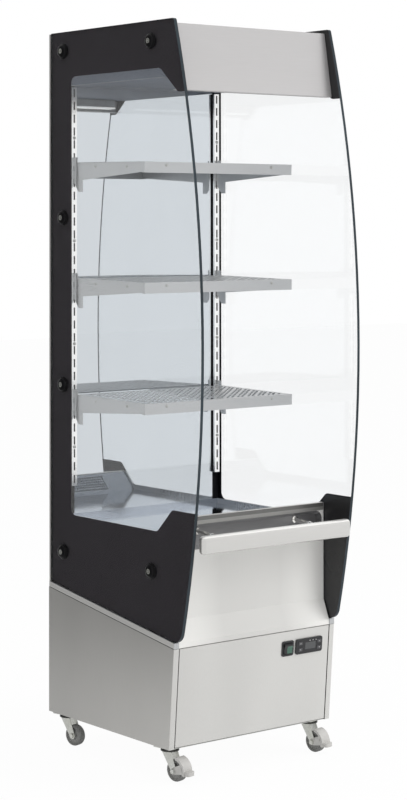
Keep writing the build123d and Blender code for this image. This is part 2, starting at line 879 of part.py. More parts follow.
def bracket(level):
    """Right side plate of a shelf, with a tail and hooks in the rail slots."""
    x = (bracket_inner(), bracket_inner() + bracket_plate)
    tail_y = rail_face_y - bracket_tail_setback
    lip_y = shelf_front_y + sheet
    plate = outline((lip_y, -sheet), (lip_y, -shelf_lip + sheet),
                    (lip_y + shelf_lip_return, -shelf_lip + sheet),
                    (tail_y, -bracket_rear_height), (shelf_rear_y, -bracket_rear_height),
                    (shelf_rear_y, -sheet))
    arm = tilted(side_plate(plate, *x), level)
    edge_y = rail_face_y - gap
    top = shelf_rear_z(level)
    heel = outline(
        (tail_y, top - bracket_rear_height / 2), (tail_y, top - bracket_tail_drop),
        (tail_y + bracket_tail_width, top - bracket_tail_drop),
        (edge_y, top - bracket_heel_drop), (edge_y, top + bracket_tab_rise),
        (edge_y - bracket_tab_width, top + bracket_tab_rise),
        (edge_y - bracket_tab_width, top - bracket_rear_height / 2),
    )
    arm += side_plate(heel, *x)
    tongue_y = rail_face_y + sheet + gap
    for i in range(hook_count):
        foot = slot_foot_z(shelf_slots[level] + i) + gap
        arm += slab(x, (edge_y - 1, tongue_y + hook_tongue), (foot, foot + hook_height))
        arm += slab(x, (tongue_y, tongue_y + hook_tongue), (foot - gap - hook_drop, foot + hook_height))
    return arm


# Controls

def rocker_frame():
    """Square frame of the power switch."""
    hollow_height = 2 * (rocker_radius + rocker_gap)
    hollow_width = 2 * (rocker_half_width + rocker_gap)
    place = (rocker_x, controls_drop)
    frame = on_front(*place, 0, rocker_frame_flange, rocker_frame_size, rocker_frame_size)
    frame += on_front(*place, -rocker_body_depth, 0, rocker_body_size, rocker_body_size)
    frame -= on_front(*place, -rocker_body_depth + 2 * sheet, 2 * rocker_frame_flange,
                      hollow_width, hollow_height)
    pivot = Pos(rocker_x, -controls_drop, -rocker_pivot_depth) * Rot(0, 90, 0)
    return frame - base_front * pivot * Cylinder(rocker_pin_radius + running, rocker_body_size)


def rocker():
    """Tilting key of the power switch, round about its pivot and hollow on its face."""
    side = Circle(rocker_radius) & outline(
        (-rocker_radius, -rocker_skirt), (rocker_radius, -rocker_skirt),
        (rocker_radius, rocker_end_height), (0, rocker_middle_height),
        (-rocker_radius, rocker_end_height))
    # Drawn with X up along the panel and Y out of it, then turned to the panel
    across = Plane(origin=(-rocker_half_width, 0, 0), x_dir=(0, 1, 0), z_dir=(1, 0, 0))
    key = extrude(across * side, amount=2 * rocker_half_width)
    pin = Rot(0, 90, 0) * Cylinder(rocker_pin_radius, 2 * (rocker_half_width + rocker_pin_length))
    place = Pos(rocker_x, -controls_drop, -rocker_pivot_depth) * Rot(rocker_rest_tilt, 0, 0)
    return base_front * place * (key + pin)


def key_places():
    """X and drop of the controller's keys."""
    return [(x, controls_drop + side * key_spacing / 2) for x in key_columns for side in (-1, 1)]


def controller():
    """Bezel and body of the temperature controller."""
    face = base_front * Pos(controller_x, -controls_drop, 0) * RectangleRounded(
        controller_width, controller_height, controller_corner)
    body = extrude(face, amount=controller_proud)
    body += on_front(controller_x, controls_drop, -controller_body_depth, 0,
                     controller_body_width, controller_body_height)
    body -= on_front(window_x, controls_drop, controller_proud - window_thickness, 2 * controller_proud,
                     window_width, window_height)
    for x, drop in key_places():
        body -= on_front(x, drop, controller_proud - key_pocket, 2 * controller_proud,
                         key_width + 2 * gap, key_height + 2 * gap)
    return body


def controller_window():
    return on_front(window_x, controls_drop, controller_proud - window_thickness, controller_proud,
                    window_width - 2 * window_gap, window_height - 2 * window_gap)


def key(x, drop):
    top = controller_proud + key_proud
    return on_front(x, drop, top - key_thickness, top, key_width, key_height)


# Warm air

def heater():
    """Serpentine tube heater on its terminal plate."""
    points = []
    for i in range(heater_passes):
        z = heater_foot_height + i * heater_pass_pitch
        ends = [heater_half_length, -heater_half_length]
        points += [(x, z) for x in (ends if i % 2 == 0 else reversed(ends))]
    plate_x = inner_half - terminal_thickness
    points[0] = (plate_x, points[0][1])
    points[-1] = (plate_x, points[-1][1])
    path = FilletPolyline(*(Vector(x, heater_y, z) for x, z in points), radius=heater_bend)
    start = Plane(origin=path @ 0, z_dir=path % 0)
    tube = sweep(start * Circle(heater_radius), path=path)
    top = heater_foot_height + (heater_passes - 1) * heater_pass_pitch
    plate = slab((plate_x, inner_half),
                 (heater_y - terminal_half_width, heater_y + terminal_half_width),
                 (heater_foot_height - terminal_margin, top + terminal_margin))
    return tube + plate


def fan_frame():
    """Square fan frame with the motor on struts and its shaft."""
    half = fan_size / 2
    front = mirror_y - fan_depth
    frame = slab((-half, half), (front, mirror_y), (fan_height - half, fan_height + half))
    frame -= cylinder_y(fan_bore, 0, front - 1, mirror_y + 1, fan_height)
    struts = slab((-fan_bore - 1, fan_bore + 1), (front, front + fan_strut),
                  (fan_height - fan_strut / 2, fan_height + fan_strut / 2))
    struts += slab((-fan_strut / 2, fan_strut / 2), (front, front + fan_strut),
                   (fan_height - fan_bore - 1, fan_height + fan_bore + 1))
    motor = cylinder_y(fan_motor_radius, 0, front, front + fan_motor_depth, fan_height)
    shaft = cylinder_y(fan_shaft_radius, 0, front, mirror_y - 1, fan_height)
    return frame + struts + motor + shaft


def fan_blade():
    """Impeller on the motor shaft."""
    hub = Cylinder(fan_hub_radius, fan_hub_depth)
    tip = fan_bore - fan_tip_gap
    span = tip - fan_hub_radius + 2
    blade = Pos(fan_hub_radius + span / 2 - 1, 0, 0) * Rot(fan_blade_pitch, 0, 0) * Box(
        span, fan_blade_chord, fan_blade_thickness)
    for i in range(fan_blade_count):
        hub += Rot(0, 0, 360 / fan_blade_count * i) * blade
    hub &= Cylinder(tip, 2 * fan_hub_depth)
    hub -= Cylinder(fan_shaft_radius + running, 2 * fan_hub_depth)
    y = mirror_y - fan_depth + fan_motor_depth + 1 + fan_hub_depth / 2
    return Pos(0, y, fan_height) * Rot(90, 0, 0) * hub


# Castors, drawn about the swivel with the wheel trailing to the front

def castor_place(corner):
    """Floor point and turn of a castor."""
    x = castor_x if corner.endswith("right") else -castor_x
    front = corner.startswith("front")
    y = base_front_y + front_castor_setback if front else rear_y - rear_castor_setback
    return Location((x, y, 0), (0, 0, castor_turns[corner]))


def fork_top_z():
    return castor_height - castor_plate_thickness - race_height - gap


def fork_inner():
    """Half the gap between the cheeks of a fork."""
    return wheel_width / 2 + wheel_side_gap


def castor_plate():
    """Top plate with the ball race and the king pin."""
    square = RectangleRounded(castor_plate_size, castor_plate_size, castor_plate_corner)
    plate_z = castor_height - castor_plate_thickness
    plate = extrude(Plane.XY.offset(plate_z) * square, amount=castor_plate_thickness)
    plate += cylinder_z(race_radius, 0, 0, plate_z - race_height, plate_z)
    head_top = fork_top_z() - fork_disc_height - gap
    plate += cylinder_z(king_pin_radius, 0, 0, head_top - king_head_height, plate_z)
    return plate + cylinder_z(king_head_radius, 0, 0, head_top - king_head_height, head_top)


def fork():
    """Swivelling fork: a disc under the race and two cheeks down to the axle."""
    top = fork_top_z()
    disc = cylinder_z(fork_disc_radius, 0, 0, top - fork_disc_height, top)
    shoulder = top - fork_disc_height + 1
    eye = Pos(-castor_trail, wheel_radius) * Circle(fork_eye_radius)
    cheek = make_hull([Line((-fork_nose, shoulder), (fork_heel, shoulder)), *eye.edges()])
    inner = fork_inner()
    for side in both_sides(side_plate(cheek, inner, inner + fork_cheek)):
        disc += side
    disc -= cylinder_z(king_pin_radius + running, 0, 0, top - 2 * fork_disc_height, top + 1)
    reach = fork_disc_radius
    return disc - cylinder_x(axle_radius, -reach, reach, -castor_trail, wheel_radius)


def axle(grip):
    """Axle bolt with a collared head and a nut, clamping over a half width."""
    bolt = cylinder_x(axle_radius, -grip, grip, -castor_trail, wheel_radius)
    end = cylinder_x(axle_collar_radius, grip, grip + axle_collar_height, -castor_trail, wheel_radius)
    end += Pos(grip + axle_collar_height, -castor_trail, wheel_radius) * extrude(
        Plane.YZ * RegularPolygon(axle_head_radius, 6), amount=axle_head_height)
    for side in both_sides(end):
        bolt += side
    return bolt


def wheel():
    """Castor wheel with a recessed web and a rounded tread."""
    half = wheel_width / 2
    tyre = cylinder_x(wheel_radius, -half, half, -castor_trail, wheel_radius)
    tyre = fillet(tyre.edges().filter_by(GeomType.CIRCLE), wheel_edge_round)
    rim = wheel_radius - wheel_tread
    for side in both_sides(cylinder_x(rim, wheel_web / 2, half, -castor_trail, wheel_radius)):
        tyre -= side
    tyre += cylinder_x(wheel_hub_radius, -half, half, -castor_trail, wheel_radius)
    return tyre - cylinder_x(axle_radius + running, -half - 1, half + 1, -castor_trail, wheel_radius)


def pedal():
    """Brake pedal: a hood concentric with the wheel, two ears on the axle and a toe."""
    inner = wheel_radius + pedal_gap
    outer = inner + pedal_wall
    half = fork_inner() + fork_cheek + pedal_ear_gap + pedal_ear
    start, sweep_angle = pedal_low_angle, pedal_high_angle - pedal_low_angle
    # Angles are measured from the front, upward, about the axle
    sector = make_face([
        CenterArc((0, 0), outer, 180 - start - sweep_angle, sweep_angle),
        CenterArc((0, 0), inner, 180 - start - sweep_angle, sweep_angle),
        Line(polar(inner, start), polar(outer, start)),
        Line(polar(inner, start + sweep_angle), polar(outer, start + sweep_angle)),
    ])
    hood = side_plate(Pos(-castor_trail, wheel_radius) * sector, -half, half)
    ear = make_hull([
        *Circle(pedal_ear_radius).edges(),
        Line(polar(inner + 1, pedal_low_angle / 2), polar(inner + 1, pedal_high_angle / 2)),
    ])
    ear -= Circle(axle_radius + running)
    ear = side_plate(Pos(-castor_trail, wheel_radius) * ear, half - pedal_ear, half)
    for side in both_sides(ear):
        hood += side
    toe = Pos(0, -castor_trail - (inner + 1 + pedal_toe_reach) / 2,
              wheel_radius + (pedal_toe_low + pedal_toe_high) / 2) * Box(
        2 * pedal_toe_half_width, pedal_toe_reach - inner - 1, pedal_toe_high - pedal_toe_low)
    corners = toe.edges().filter_by(Axis.Z).sort_by(Axis.Y)[:2]
    return hood + fillet(corners, pedal_toe_half_width / 2)


def polar(radius, angle):
    """Point at a radius and an angle upward from the front."""
    return -radius * cos(radians(angle)), radius * sin(radians(angle))


def fork_grip(corner):
    """Half the length that an axle clamps: the fork alone, or the pedal's ears too."""
    grip = fork_inner() + fork_cheek
    if corner.startswith("front"):
        grip += pedal_ear_gap + pedal_ear + gap
    return grip


# Nodes

def left(piece):
    return mirror(piece, about=Plane.YZ)


def cabinet():
    """Every piece of the fixed cabinet."""
    rear_places = [place for place in glass_screw_places() if place[0] > mirror_y]
    front_places = [place for place in glass_screw_places() if place[0] < mirror_y]
    low = [place for place in front_places if place[1] < deck_height]
    high = [place for place in front_places if place[1] > deck_height]
    frame = side_frame()
    for y, z in rear_places + low:
        frame -= cylinder_x(glass_screw_radius, inner_half - 1, frame_outer + 1, y, z)
    top = drilled(canopy_top(), inner_half - 1, frame_outer + 1, high)
    side = base_side()
    glass = glass_side()
    caps = [cap for y, z in glass_screw_places() for cap in both_sides(glass_cap(y, z))]
    screws = [screw for y, z in glass_screw_places() for screw in both_sides(glass_screw(y, z))]
    plates = [castor_place(corner) * castor_plate() for corner in castor_turns]
    return {
        "base_floor": base_floor(),
        "base_side_left": left(side),
        "base_side_right": side,
        "back_cover": back_cover(),
        "inlet_gland": inlet_gland(),
        "service_panel": service_panel(),
        "side_frame_left": left(frame),
        "side_frame_right": frame,
        "duct_partition": duct_partition(),
        "front_panel": front_panel(),
        "deck": deck(),
        "air_grille": air_grille(),
        "mirror_wall": mirror_wall(),
        "ceiling": ceiling(),
        "canopy_top": top,
        "canopy_fascia": canopy_fascia(),
        "lamp_housing": lamp_housing(),
        "lamp_diffuser": lamp_diffuser(),
        "glass_left": left(glass),
        "glass_right": glass,
        "glass_borders": Compound(children=both_sides(glass_border())),
        "glass_caps": Compound(children=caps),
        "glass_screws": Compound(children=screws),
        "rail_left": left(rail()),
        "rail_right": rail(),
        "rail_screws": Compound(children=[rail_screw(*place) for place in rail_screw_places()]),
        "handle_bar": handle_bar(),
        "handle_posts": Compound(children=[handle_post(place) for place in handle_places()]),
        "rocker_frame": rocker_frame(),
        "controller": controller(),
        "controller_window": controller_window(),
        "heater": heater(),
        "fan_frame": fan_frame(),
        "castor_plates": Compound(children=plates),
    }


def moving():
    """Every piece that moves."""
    nodes = {"rocker": rocker(), "fan_blade": fan_blade()}
    for level in shelf_slots:
        nodes[f"shelf_{level}"] = shelf(level)
        nodes[f"brackets_{level}"] = Compound(children=both_sides(bracket(level)))
    for number, (x, drop) in enumerate(key_places(), start=1):
        nodes[f"key_{number}"] = key(x, drop)
    for corner in castor_turns:
        place = castor_place(corner)
        nodes[f"fork_{corner}"] = place * fork()
        nodes[f"axle_{corner}"] = place * axle(fork_grip(corner))
        nodes[f"wheel_{corner}"] = place * wheel()
        if corner.startswith("front"):
            nodes[f"pedal_{corner}"] = place * pedal()
    return nodes


os.makedirs("parts", exist_ok=True)
for name, piece in {**cabinet(), **moving()}.items():
    export_step(piece, f"parts/{name}.step")
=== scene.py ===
import json
from contextlib import contextmanager
from math import pi, radians, sin, tau

import bmesh
import bpy
from bpy.props import FloatProperty, FloatVectorProperty, IntProperty, PointerProperty
from mathutils import Matrix, Vector

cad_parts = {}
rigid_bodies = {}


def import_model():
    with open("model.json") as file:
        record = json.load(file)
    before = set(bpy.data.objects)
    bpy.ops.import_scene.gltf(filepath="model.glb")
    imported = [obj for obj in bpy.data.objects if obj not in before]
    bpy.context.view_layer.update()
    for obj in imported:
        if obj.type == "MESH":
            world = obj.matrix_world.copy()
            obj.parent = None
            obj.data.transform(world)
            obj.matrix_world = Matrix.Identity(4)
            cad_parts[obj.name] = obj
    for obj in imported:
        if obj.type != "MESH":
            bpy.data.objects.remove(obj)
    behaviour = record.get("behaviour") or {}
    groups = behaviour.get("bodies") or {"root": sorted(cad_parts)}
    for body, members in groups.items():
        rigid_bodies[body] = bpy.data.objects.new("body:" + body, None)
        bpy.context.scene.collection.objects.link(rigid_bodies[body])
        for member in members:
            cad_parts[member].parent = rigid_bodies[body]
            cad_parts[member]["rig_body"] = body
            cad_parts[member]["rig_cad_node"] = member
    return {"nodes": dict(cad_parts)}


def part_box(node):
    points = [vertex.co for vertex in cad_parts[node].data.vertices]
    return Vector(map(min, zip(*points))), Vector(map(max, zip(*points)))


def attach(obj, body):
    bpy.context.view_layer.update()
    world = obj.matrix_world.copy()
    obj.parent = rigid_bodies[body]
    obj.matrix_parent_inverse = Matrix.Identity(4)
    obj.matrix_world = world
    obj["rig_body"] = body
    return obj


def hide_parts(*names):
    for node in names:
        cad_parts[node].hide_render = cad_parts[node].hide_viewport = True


bl_info = {
    "name": "Display Warmer",
    "version": (1, 0, 0),
    "blender": (4, 5, 0),
    "location": "3D View > Sidebar > Warmer",
    "description": "Sheet metal, glass, shelves, controls and castors of a heated display cabinet",
    "category": "Object",
}

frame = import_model()

HANDS = ("left", "right")
SIDES = (-1, 1)              # the same, along X
LEVELS = ("bottom", "middle", "top")
BRAKED = ("front_left", "front_right")
# Degrees by which each castor has swivelled at rest
CASTOR_TURNS = {"front_left": 11.5, "front_right": 9.0, "rear_left": 14.0, "rear_right": 12.0}

FRONT_LEAN = radians(4.72)   # of the service panel and its controls, from upright
SHELF_FALL = radians(1.0)    # of the trays, towards the front
SHEET = 0.0015               # thickness of the folded steel


# Settings

def length(name, description, default):
    return FloatProperty(name=name, description=description, default=default, min=0.0,
                         unit="LENGTH", precision=5)


def colour(name, description, default):
    return FloatVectorProperty(name=name, description=description, default=default, size=3,
                               min=0.0, max=1.0, subtype="COLOR")


def share(name, description, default):
    return FloatProperty(name=name, description=description, default=default, min=0.0, max=1.0,
                         subtype="FACTOR")


def power(name, description, default):
    return FloatProperty(name=name, description=description, default=default, min=0.0,
                         unit="POWER")


class SheetSettings(bpy.types.PropertyGroup):
    fold_radius: length("Fold radius", "Outer radius of a fold in the sheet", 0.0022)
    edge_radius: length("Edge radius", "Radius that breaks the cut edges", 0.0003)
    steel: colour("Steel", "Satin steel of the fronts", (0.67, 0.665, 0.645))
    # Painted shade: the side steel is darker than the fronts, standing in for the shade on the base
    # sides
    side: colour("Side steel", "Duller steel of the base sides", (0.43, 0.425, 0.41))
    canopy: colour("Canopy steel", "Satin steel of the canopy front", (0.52, 0.51, 0.51))
    # Painted shade: the recess tone is darker than the fronts' steel, for the shade in the pressed
    # recess
    recess: colour("Recess steel", "Polished steel of the pressed recess", (0.24, 0.24, 0.245))
    inner: colour("Inner steel", "Satin steel of the chamber and the shelves", (0.52, 0.53, 0.54))
    deck: colour("Deck", "Polished steel of the deck and the air grille", (0.52, 0.56, 0.62))
    roof: colour("Roof", "Dark steel of the ceiling", (0.14, 0.165, 0.215))
    mirror: colour("Mirror", "Polished rear wall of the chamber", (0.665, 0.70, 0.735))
    zinc: colour("Zinc", "Zinc plate of the floor and the screws", (0.55, 0.56, 0.56))
    grain: FloatProperty(name="Grain", description="Brush lines per metre", default=1500.0, min=1.0)


class GlassSettings(bpy.types.PropertyGroup):
    chamfer: length("Chamfer", "Polished chamfer round the glass", 0.0006)
    tint: colour("Tint", "Body colour of the toughened glass", (0.984, 0.993, 0.997))
    # Painted reflection: the dark look of the glass edge is given as a near-black tone
    edge: colour("Edge", "Colour of the polished edge", (0.026, 0.034, 0.040))
    film_outside: colour("Film outside", "Black border seen through the glass",
                         (0.047, 0.042, 0.049))
    film_inside: colour("Film inside", "Back of the border film", (0.010, 0.010, 0.011))
    film_bond: length("Film bond", "Depth by which the film is fired into the glass", 0.00005)
    film_trim: length("Film trim", "Width taken off the rear border, so that the rail shows", 0.011)


class ControlSettings(bpy.types.PropertyGroup):
    plastic: colour("Plastic", "Black plastic of the frames and the caps", (0.016, 0.016, 0.018))
    switch: colour("Switch", "Green rocker", (0.035, 0.125, 0.082))
    lens: colour("Lens", "Smoked display window", (0.030, 0.033, 0.036))
    keys: colour("Keys", "Rubber keys", (0.085, 0.085, 0.09))
    mark: colour("Marks", "Printed marks", (0.80, 0.80, 0.80))


class CastorSettings(bpy.types.PropertyGroup):
    tread: colour("Tread", "Rubber of the wheels", (0.23, 0.23, 0.225))
    centre: colour("Centre", "Moulded wheel centre", (0.33, 0.33, 0.32))
    pedal: colour("Pedal", "Brake pedals", (0.60, 0.59, 0.57))
    plate: colour("Plate", "Bright zinc of the forks", (0.62, 0.63, 0.61))
    turned_steps: IntProperty(name="Turned steps", description="Facets round a wheel",
                              default=72, min=12)
    tread_from: length("Tread from", "Radius where the rubber of a wheel starts", 0.0212)


class StudioSettings(bpy.types.PropertyGroup):
    key_power: power("Key power", "Large softbox at the front right", 70.0)
    top_power: power("Top power", "Softbox overhead", 35.0)
    sky: share("Sky", "Strength of the light from all round", 0.66)
    floor: colour("Floor", "Plain pale floor", (0.92, 0.92, 0.92))
    floor_glow: share("Floor glow", "Share of plain white in the floor as the camera sees it", 0.96)
    lens: FloatProperty(name="Lens", description="Focal length in millimetres", default=91.684,
                        min=1.0)


# Handling of pieces

def pick(*pieces):
    """Selects these pieces alone, the last one active."""
    if bpy.context.mode != "OBJECT":
        bpy.ops.object.mode_set(mode="OBJECT")
    bpy.ops.object.select_all(action="DESELECT")
    for piece in pieces:
        piece.select_set(True)
        bpy.context.view_layer.objects.active = piece


@contextmanager
def editing(piece):
    """Edit mode on this piece alone."""
    pick(piece)
    bpy.ops.object.mode_set(mode="EDIT")
    yield
    bpy.ops.object.mode_set(mode="OBJECT")


def named(name):
    """The active object and its data, under this name."""
    piece = bpy.context.active_object
    piece.name = piece.data.name = name
    return piece


def mark(piece, kind, test):
    """Selects in edit mode the vertices, edges or faces that pass a test."""
    bpy.ops.mesh.select_mode(type=kind)
    bpy.ops.mesh.select_all(action="DESELECT")
    mesh = bmesh.from_edit_mesh(piece.data)
    elements = {"VERT": mesh.verts, "EDGE": mesh.edges, "FACE": mesh.faces}[kind]
    found = [element for element in elements if test(element)]
    for element in found:
        element.select_set(True)
    bmesh.update_edit_mesh(piece.data)
    return len(found)


def settle(piece, **place):
    """Moves and turns a piece, then puts its place into its mesh."""
    piece.location = place.get("at", (0, 0, 0))
    piece.rotation_euler = place.get("turn", (0, 0, 0))
    pick(piece)
    bpy.ops.object.transform_apply(location=True, rotation=True, scale=True)
    return piece


def again(piece, name, **place):
    """A copy of a piece with its own mesh, at another place."""
    pick(piece)
    bpy.ops.object.duplicate()
    return settle(named(name), **place)


def outward(side):
    """Turn of a part made along +X, so that it faces out on this side."""
    return 0, 0, 0 if side > 0 else pi


def set_out(model, name, places):
    """Copies of a model at (place, turn) pairs, joined into one piece in its stead."""
    pick(*(again(model, f"{name}_{number}", at=at, turn=turn)
           for number, (at, turn) in enumerate(places)))
    bpy.ops.object.join()
    bpy.data.objects.remove(model)
    return named(name)


def applied(piece, kind, **values):
    """Adds a modifier with these values and applies it."""
    pick(piece)
    bpy.ops.object.modifier_add(type=kind)
    modifier = piece.modifiers[-1]
    for name, value in values.items():
        setattr(modifier, name, value)
    bpy.ops.object.modifier_apply(modifier=modifier.name)


def smooth(piece, angle=35.0):
    """Shades a piece smooth up to an angle, and keeps its flat faces flat."""
    pick(piece)
    bpy.ops.object.shade_smooth_by_angle(angle=radians(angle))
    applied(piece, "WEIGHTED_NORMAL", keep_sharp=True)


def edged(piece, radius, segments=2):
    """Breaks the sharp edges of a piece."""
    applied(piece, "BEVEL", limit_method="ANGLE", angle_limit=radians(40), width=radius,
            segments=segments, use_clamp_overlap=True)


def fitted(piece, material, node=None, on=None):
    """Gives a new piece its finish, and lets it stand for a node or ride on one's body."""
    piece.data.materials.clear()
    piece.data.materials.append(material)
    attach(piece, frame["nodes"][on or node]["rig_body"])
    if node:
        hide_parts(node)
    return piece


def second_finish(piece, material, test):
    """Gives the faces that pass a test another finish."""
    piece.data.materials.append(material)
    number = len(piece.data.materials) - 1
    for face in piece.data.polygons:
        if test(face):
            face.material_index = number


def dressed(material, *nodes):
    """Gives nodes of the frame a finish."""
    for node in nodes:
        piece = frame["nodes"][node]
        if not piece.material_slots:
            piece.data.materials.append(material)
        for place in piece.material_slots:
            place.material = material


def twin(node, making):
    """Welded copy of a node's mesh, its flat faces in one piece each.

    Its name is the node's with a word for how the piece is made."""
    pick(frame["nodes"][node])
    bpy.ops.object.duplicate()
    piece = named(f"{node}_{making}")
    del piece["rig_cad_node"]
    bpy.ops.mesh.customdata_custom_splitnormals_clear()
    with editing(piece):
        bpy.ops.mesh.select_all(action="SELECT")
        bpy.ops.mesh.remove_doubles(threshold=0.00001)
        bpy.ops.mesh.dissolve_limited(angle_limit=radians(0.3))
    return piece


def wide(face):
    """Whether a face is part of a sheet's side, and not of its cut edge."""
    return face.calc_area() / max(edge.calc_length() for edge in face.edges) > 0.0026


def is_fold(edge, convex):
    """A long edge between two wide faces, so not the cut edge of a sheet."""
    if len(edge.link_faces) != 2 or edge.is_convex != convex or edge.calc_length() < 0.02:
        return False
    return edge.calc_face_angle() > radians(15) and all(wide(face) for face in edge.link_faces)


def folded(piece, radius):
    """Rounds the folds of a sheet, outside and inside."""
    with editing(piece):
        for convex, offset in ((True, radius), (False, radius - SHEET)):
            if mark(piece, "EDGE", lambda edge: is_fold(edge, convex)):
                bpy.ops.mesh.bevel(offset=offset, segments=4, affect="EDGES", clamp_overlap=True)


def cut(piece, cuts):
    """Edge lines where planes cross the piece, each given as a point and a normal."""
    with editing(piece):
        for point, normal in cuts:
            bpy.ops.mesh.select_all(action="SELECT")
            bpy.ops.mesh.bisect(plane_co=point, plane_no=normal)


def sheet_piece(node, making, material, cuts=()):
    """Copy of a folded sheet with round folds and broken edges."""
    sizes = bpy.context.scene.warmer_sheet
    piece = twin(node, making)
    folded(piece, sizes.fold_radius)
    edged(piece, sizes.edge_radius)
    cut(piece, cuts)
    smooth(piece)
    return fitted(piece, material, node)


def solid_piece(node, making, material, radius, segments=2, cuts=()):
    """Copy of a solid part with its edges rounded."""
    piece = twin(node, making)
    edged(piece, radius, segments)
    cut(piece, cuts)
    smooth(piece)
    return fitted(piece, material, node)


def spun(name, profile, steps):
    """Shape turned about the X axis from (radius, distance along the axis) points."""
    pick()
    bpy.ops.mesh.primitive_plane_add(size=0.01)
    piece = named(name)
    with editing(piece):
        bpy.ops.mesh.select_mode(type="VERT")
        bpy.ops.mesh.merge(type="CENTER")
        bpy.ops.transform.translate(value=(profile[0][1], 0, profile[0][0]))
        for before, after in zip(profile, profile[1:]):
            move = (after[1] - before[1], 0, after[0] - before[0])
            bpy.ops.mesh.extrude_vertices_move(TRANSFORM_OT_translate={"value": move})
        bpy.ops.mesh.select_all(action="SELECT")
        bpy.ops.mesh.spin(steps=steps, angle=tau, center=(0, 0, 0), axis=(1, 0, 0))
        bpy.ops.mesh.select_all(action="SELECT")
        bpy.ops.mesh.remove_doubles(threshold=0.000002)
        bpy.ops.mesh.normals_make_consistent(inside=False)
    return piece


# Finishes

# Inputs of a Mix node: its factor, its two values and its two tones; and its mixed tone
FACTOR, FIRST, SECOND, FIRST_TONE, SECOND_TONE = 0, 2, 3, 6, 7
MIXED_TONE = 2


class Finish:
    """A finish whose marks are read from the piece's own coordinates."""

    def __init__(self, name, values):
        self.material = bpy.data.materials.new(name)
        self.material.use_nodes = True
        self.tree = self.material.node_tree
        self.shader = self.tree.nodes["Principled BSDF"]
        for socket, value in values.items():
            self.shader.inputs[socket].default_value = value
        self.place = self.tree.nodes.new("ShaderNodeTexCoord").outputs["Object"]

    def add(self, kind, inputs=(), **settings):
        """A node with these inputs, each a value or another node's output."""
        node = self.tree.nodes.new(kind)
        for name, value in settings.items():
            setattr(node, name, value)
        for socket, value in dict(inputs).items():
            if isinstance(value, bpy.types.NodeSocket):
                self.tree.links.new(value, node.inputs[socket])
            else:
                node.inputs[socket].default_value = value
        return node

    def noise(self, scale, stretch=(1, 1, 1), detail=2.0):
        """Cloud of values at a number of waves per metre, drawn out by the stretch."""
        mapped = self.add("ShaderNodeMapping", {"Vector": self.place, "Scale": stretch})
        cloud = self.add("ShaderNodeTexNoise",
                         {"Vector": mapped.outputs[0], "Scale": scale, "Detail": detail})
        return cloud.outputs["Fac"]

    def spread(self, value, low, high, start=0.3, end=0.7):
        """Stretches a cloud's values to a range."""
        return self.add("ShaderNodeMapRange", {"Value": value, "From Min": start, "From Max": end,
                                               "To Min": low, "To Max": high}).outputs[0]

    def between(self, factor, first, second):
        """Value between two values."""
        return self.add("ShaderNodeMix",
                        {FACTOR: factor, FIRST: first, SECOND: second}).outputs[0]

    def tones(self, factor, first, second, **settings):
        """Colour between two tones, the first a tone or a node's output."""
        if not isinstance(first, bpy.types.NodeSocket):
            first = (*first, 1)
        mixed = self.add("ShaderNodeMix", {FACTOR: factor, FIRST_TONE: first,
                                           SECOND_TONE: (*second, 1)},
                         data_type="RGBA", **settings)
        return mixed.outputs[MIXED_TONE]

    def mottled(self, cloud, tone, dark, light, start=0.3, end=0.7):
        """Tones from a darker to a lighter share of one tone, by a cloud's values."""
        return self.tones(self.spread(cloud, 0, 1, start, end), lighter(tone, dark),
                          lighter(tone, light))

    def set(self, socket, value):
        """Links an output to a socket of the shader."""
        self.tree.links.new(value, self.shader.inputs[socket])

    def done(self, colour, rough, normal):
        """The material, with these outputs as its colour, roughness and relief."""
        self.set("Base Color", colour)
        self.set("Roughness", rough)
        self.set("Normal", normal)
        return self.material

    def bump(self, height, distance, strength, below=None):
        """Normal of a surface raised by the height, on top of another bump."""
        inputs = {"Height": height, "Distance": distance, "Strength": strength}
        if below is not None:
            inputs["Normal"] = below
        return self.add("ShaderNodeBump", inputs).outputs[0]

    def shaded(self, factor, second):
        """Mixes a second shader over the finish."""
        mixed = self.add("ShaderNodeMixShader", {0: factor, 1: self.shader.outputs[0],
                                                 2: second.outputs[0]})
        self.tree.links.new(mixed.outputs[0], self.tree.nodes["Material Output"].inputs[0])


def lighter(tone, by):
    """A tone times a number, darker where that is below 1."""
    return tuple(min(1.0, part * by) for part in tone)


def drawn_out(along, part):
    """Stretch of a cloud along one axis, to a part of its waves."""
    return [part if axis == along else 1.0 for axis in range(3)]


def brushed_steel(name, tone, along, metallic=0.4, rough=(0.32, 0.44), bands=0.04,
                  drift=None, gloss=0.5):
    """Steel with fine brush lines along one axis and a slow change of tone across them.

    A drift names an axis, two places along it and the gain in tone between them; it paints light
    and shade into the tone. Along X the places are distances from the middle."""
    grain = bpy.context.scene.warmer_sheet.grain
    steel = Finish(name, {"Metallic": metallic, "Specular IOR Level": gloss})
    lines = steel.noise(grain, drawn_out(along, 0.012), 3.0)
    both = steel.between(0.7, lines, steel.noise(5.0, drawn_out(along, 0.25), 1.0))
    shade = steel.mottled(both, tone, 1 - bands, 1 + bands, 0.4, 0.6)
    if drift:
        axis, start, end, gain = drift
        place = steel.add("ShaderNodeSeparateXYZ", {0: steel.place}).outputs[axis]
        if axis == "X":
            place = steel.add("ShaderNodeMath", {0: place}, operation="ABSOLUTE").outputs[0]
        shade = steel.tones(steel.spread(place, 0, 1, start, end), shade, [1 + gain] * 3,
                            blend_type="MULTIPLY")
    return steel.done(shade, steel.spread(both, *rough), steel.bump(lines, 0.00002, 0.5))


def roof_steel(name, along):
    """Dark satin steel of the ceiling and of the canopy's side walls."""
    return brushed_steel(name, bpy.context.scene.warmer_sheet.roof, along, metallic=0.1,
                         rough=(0.5, 0.6), bands=0.15, gloss=0.15)


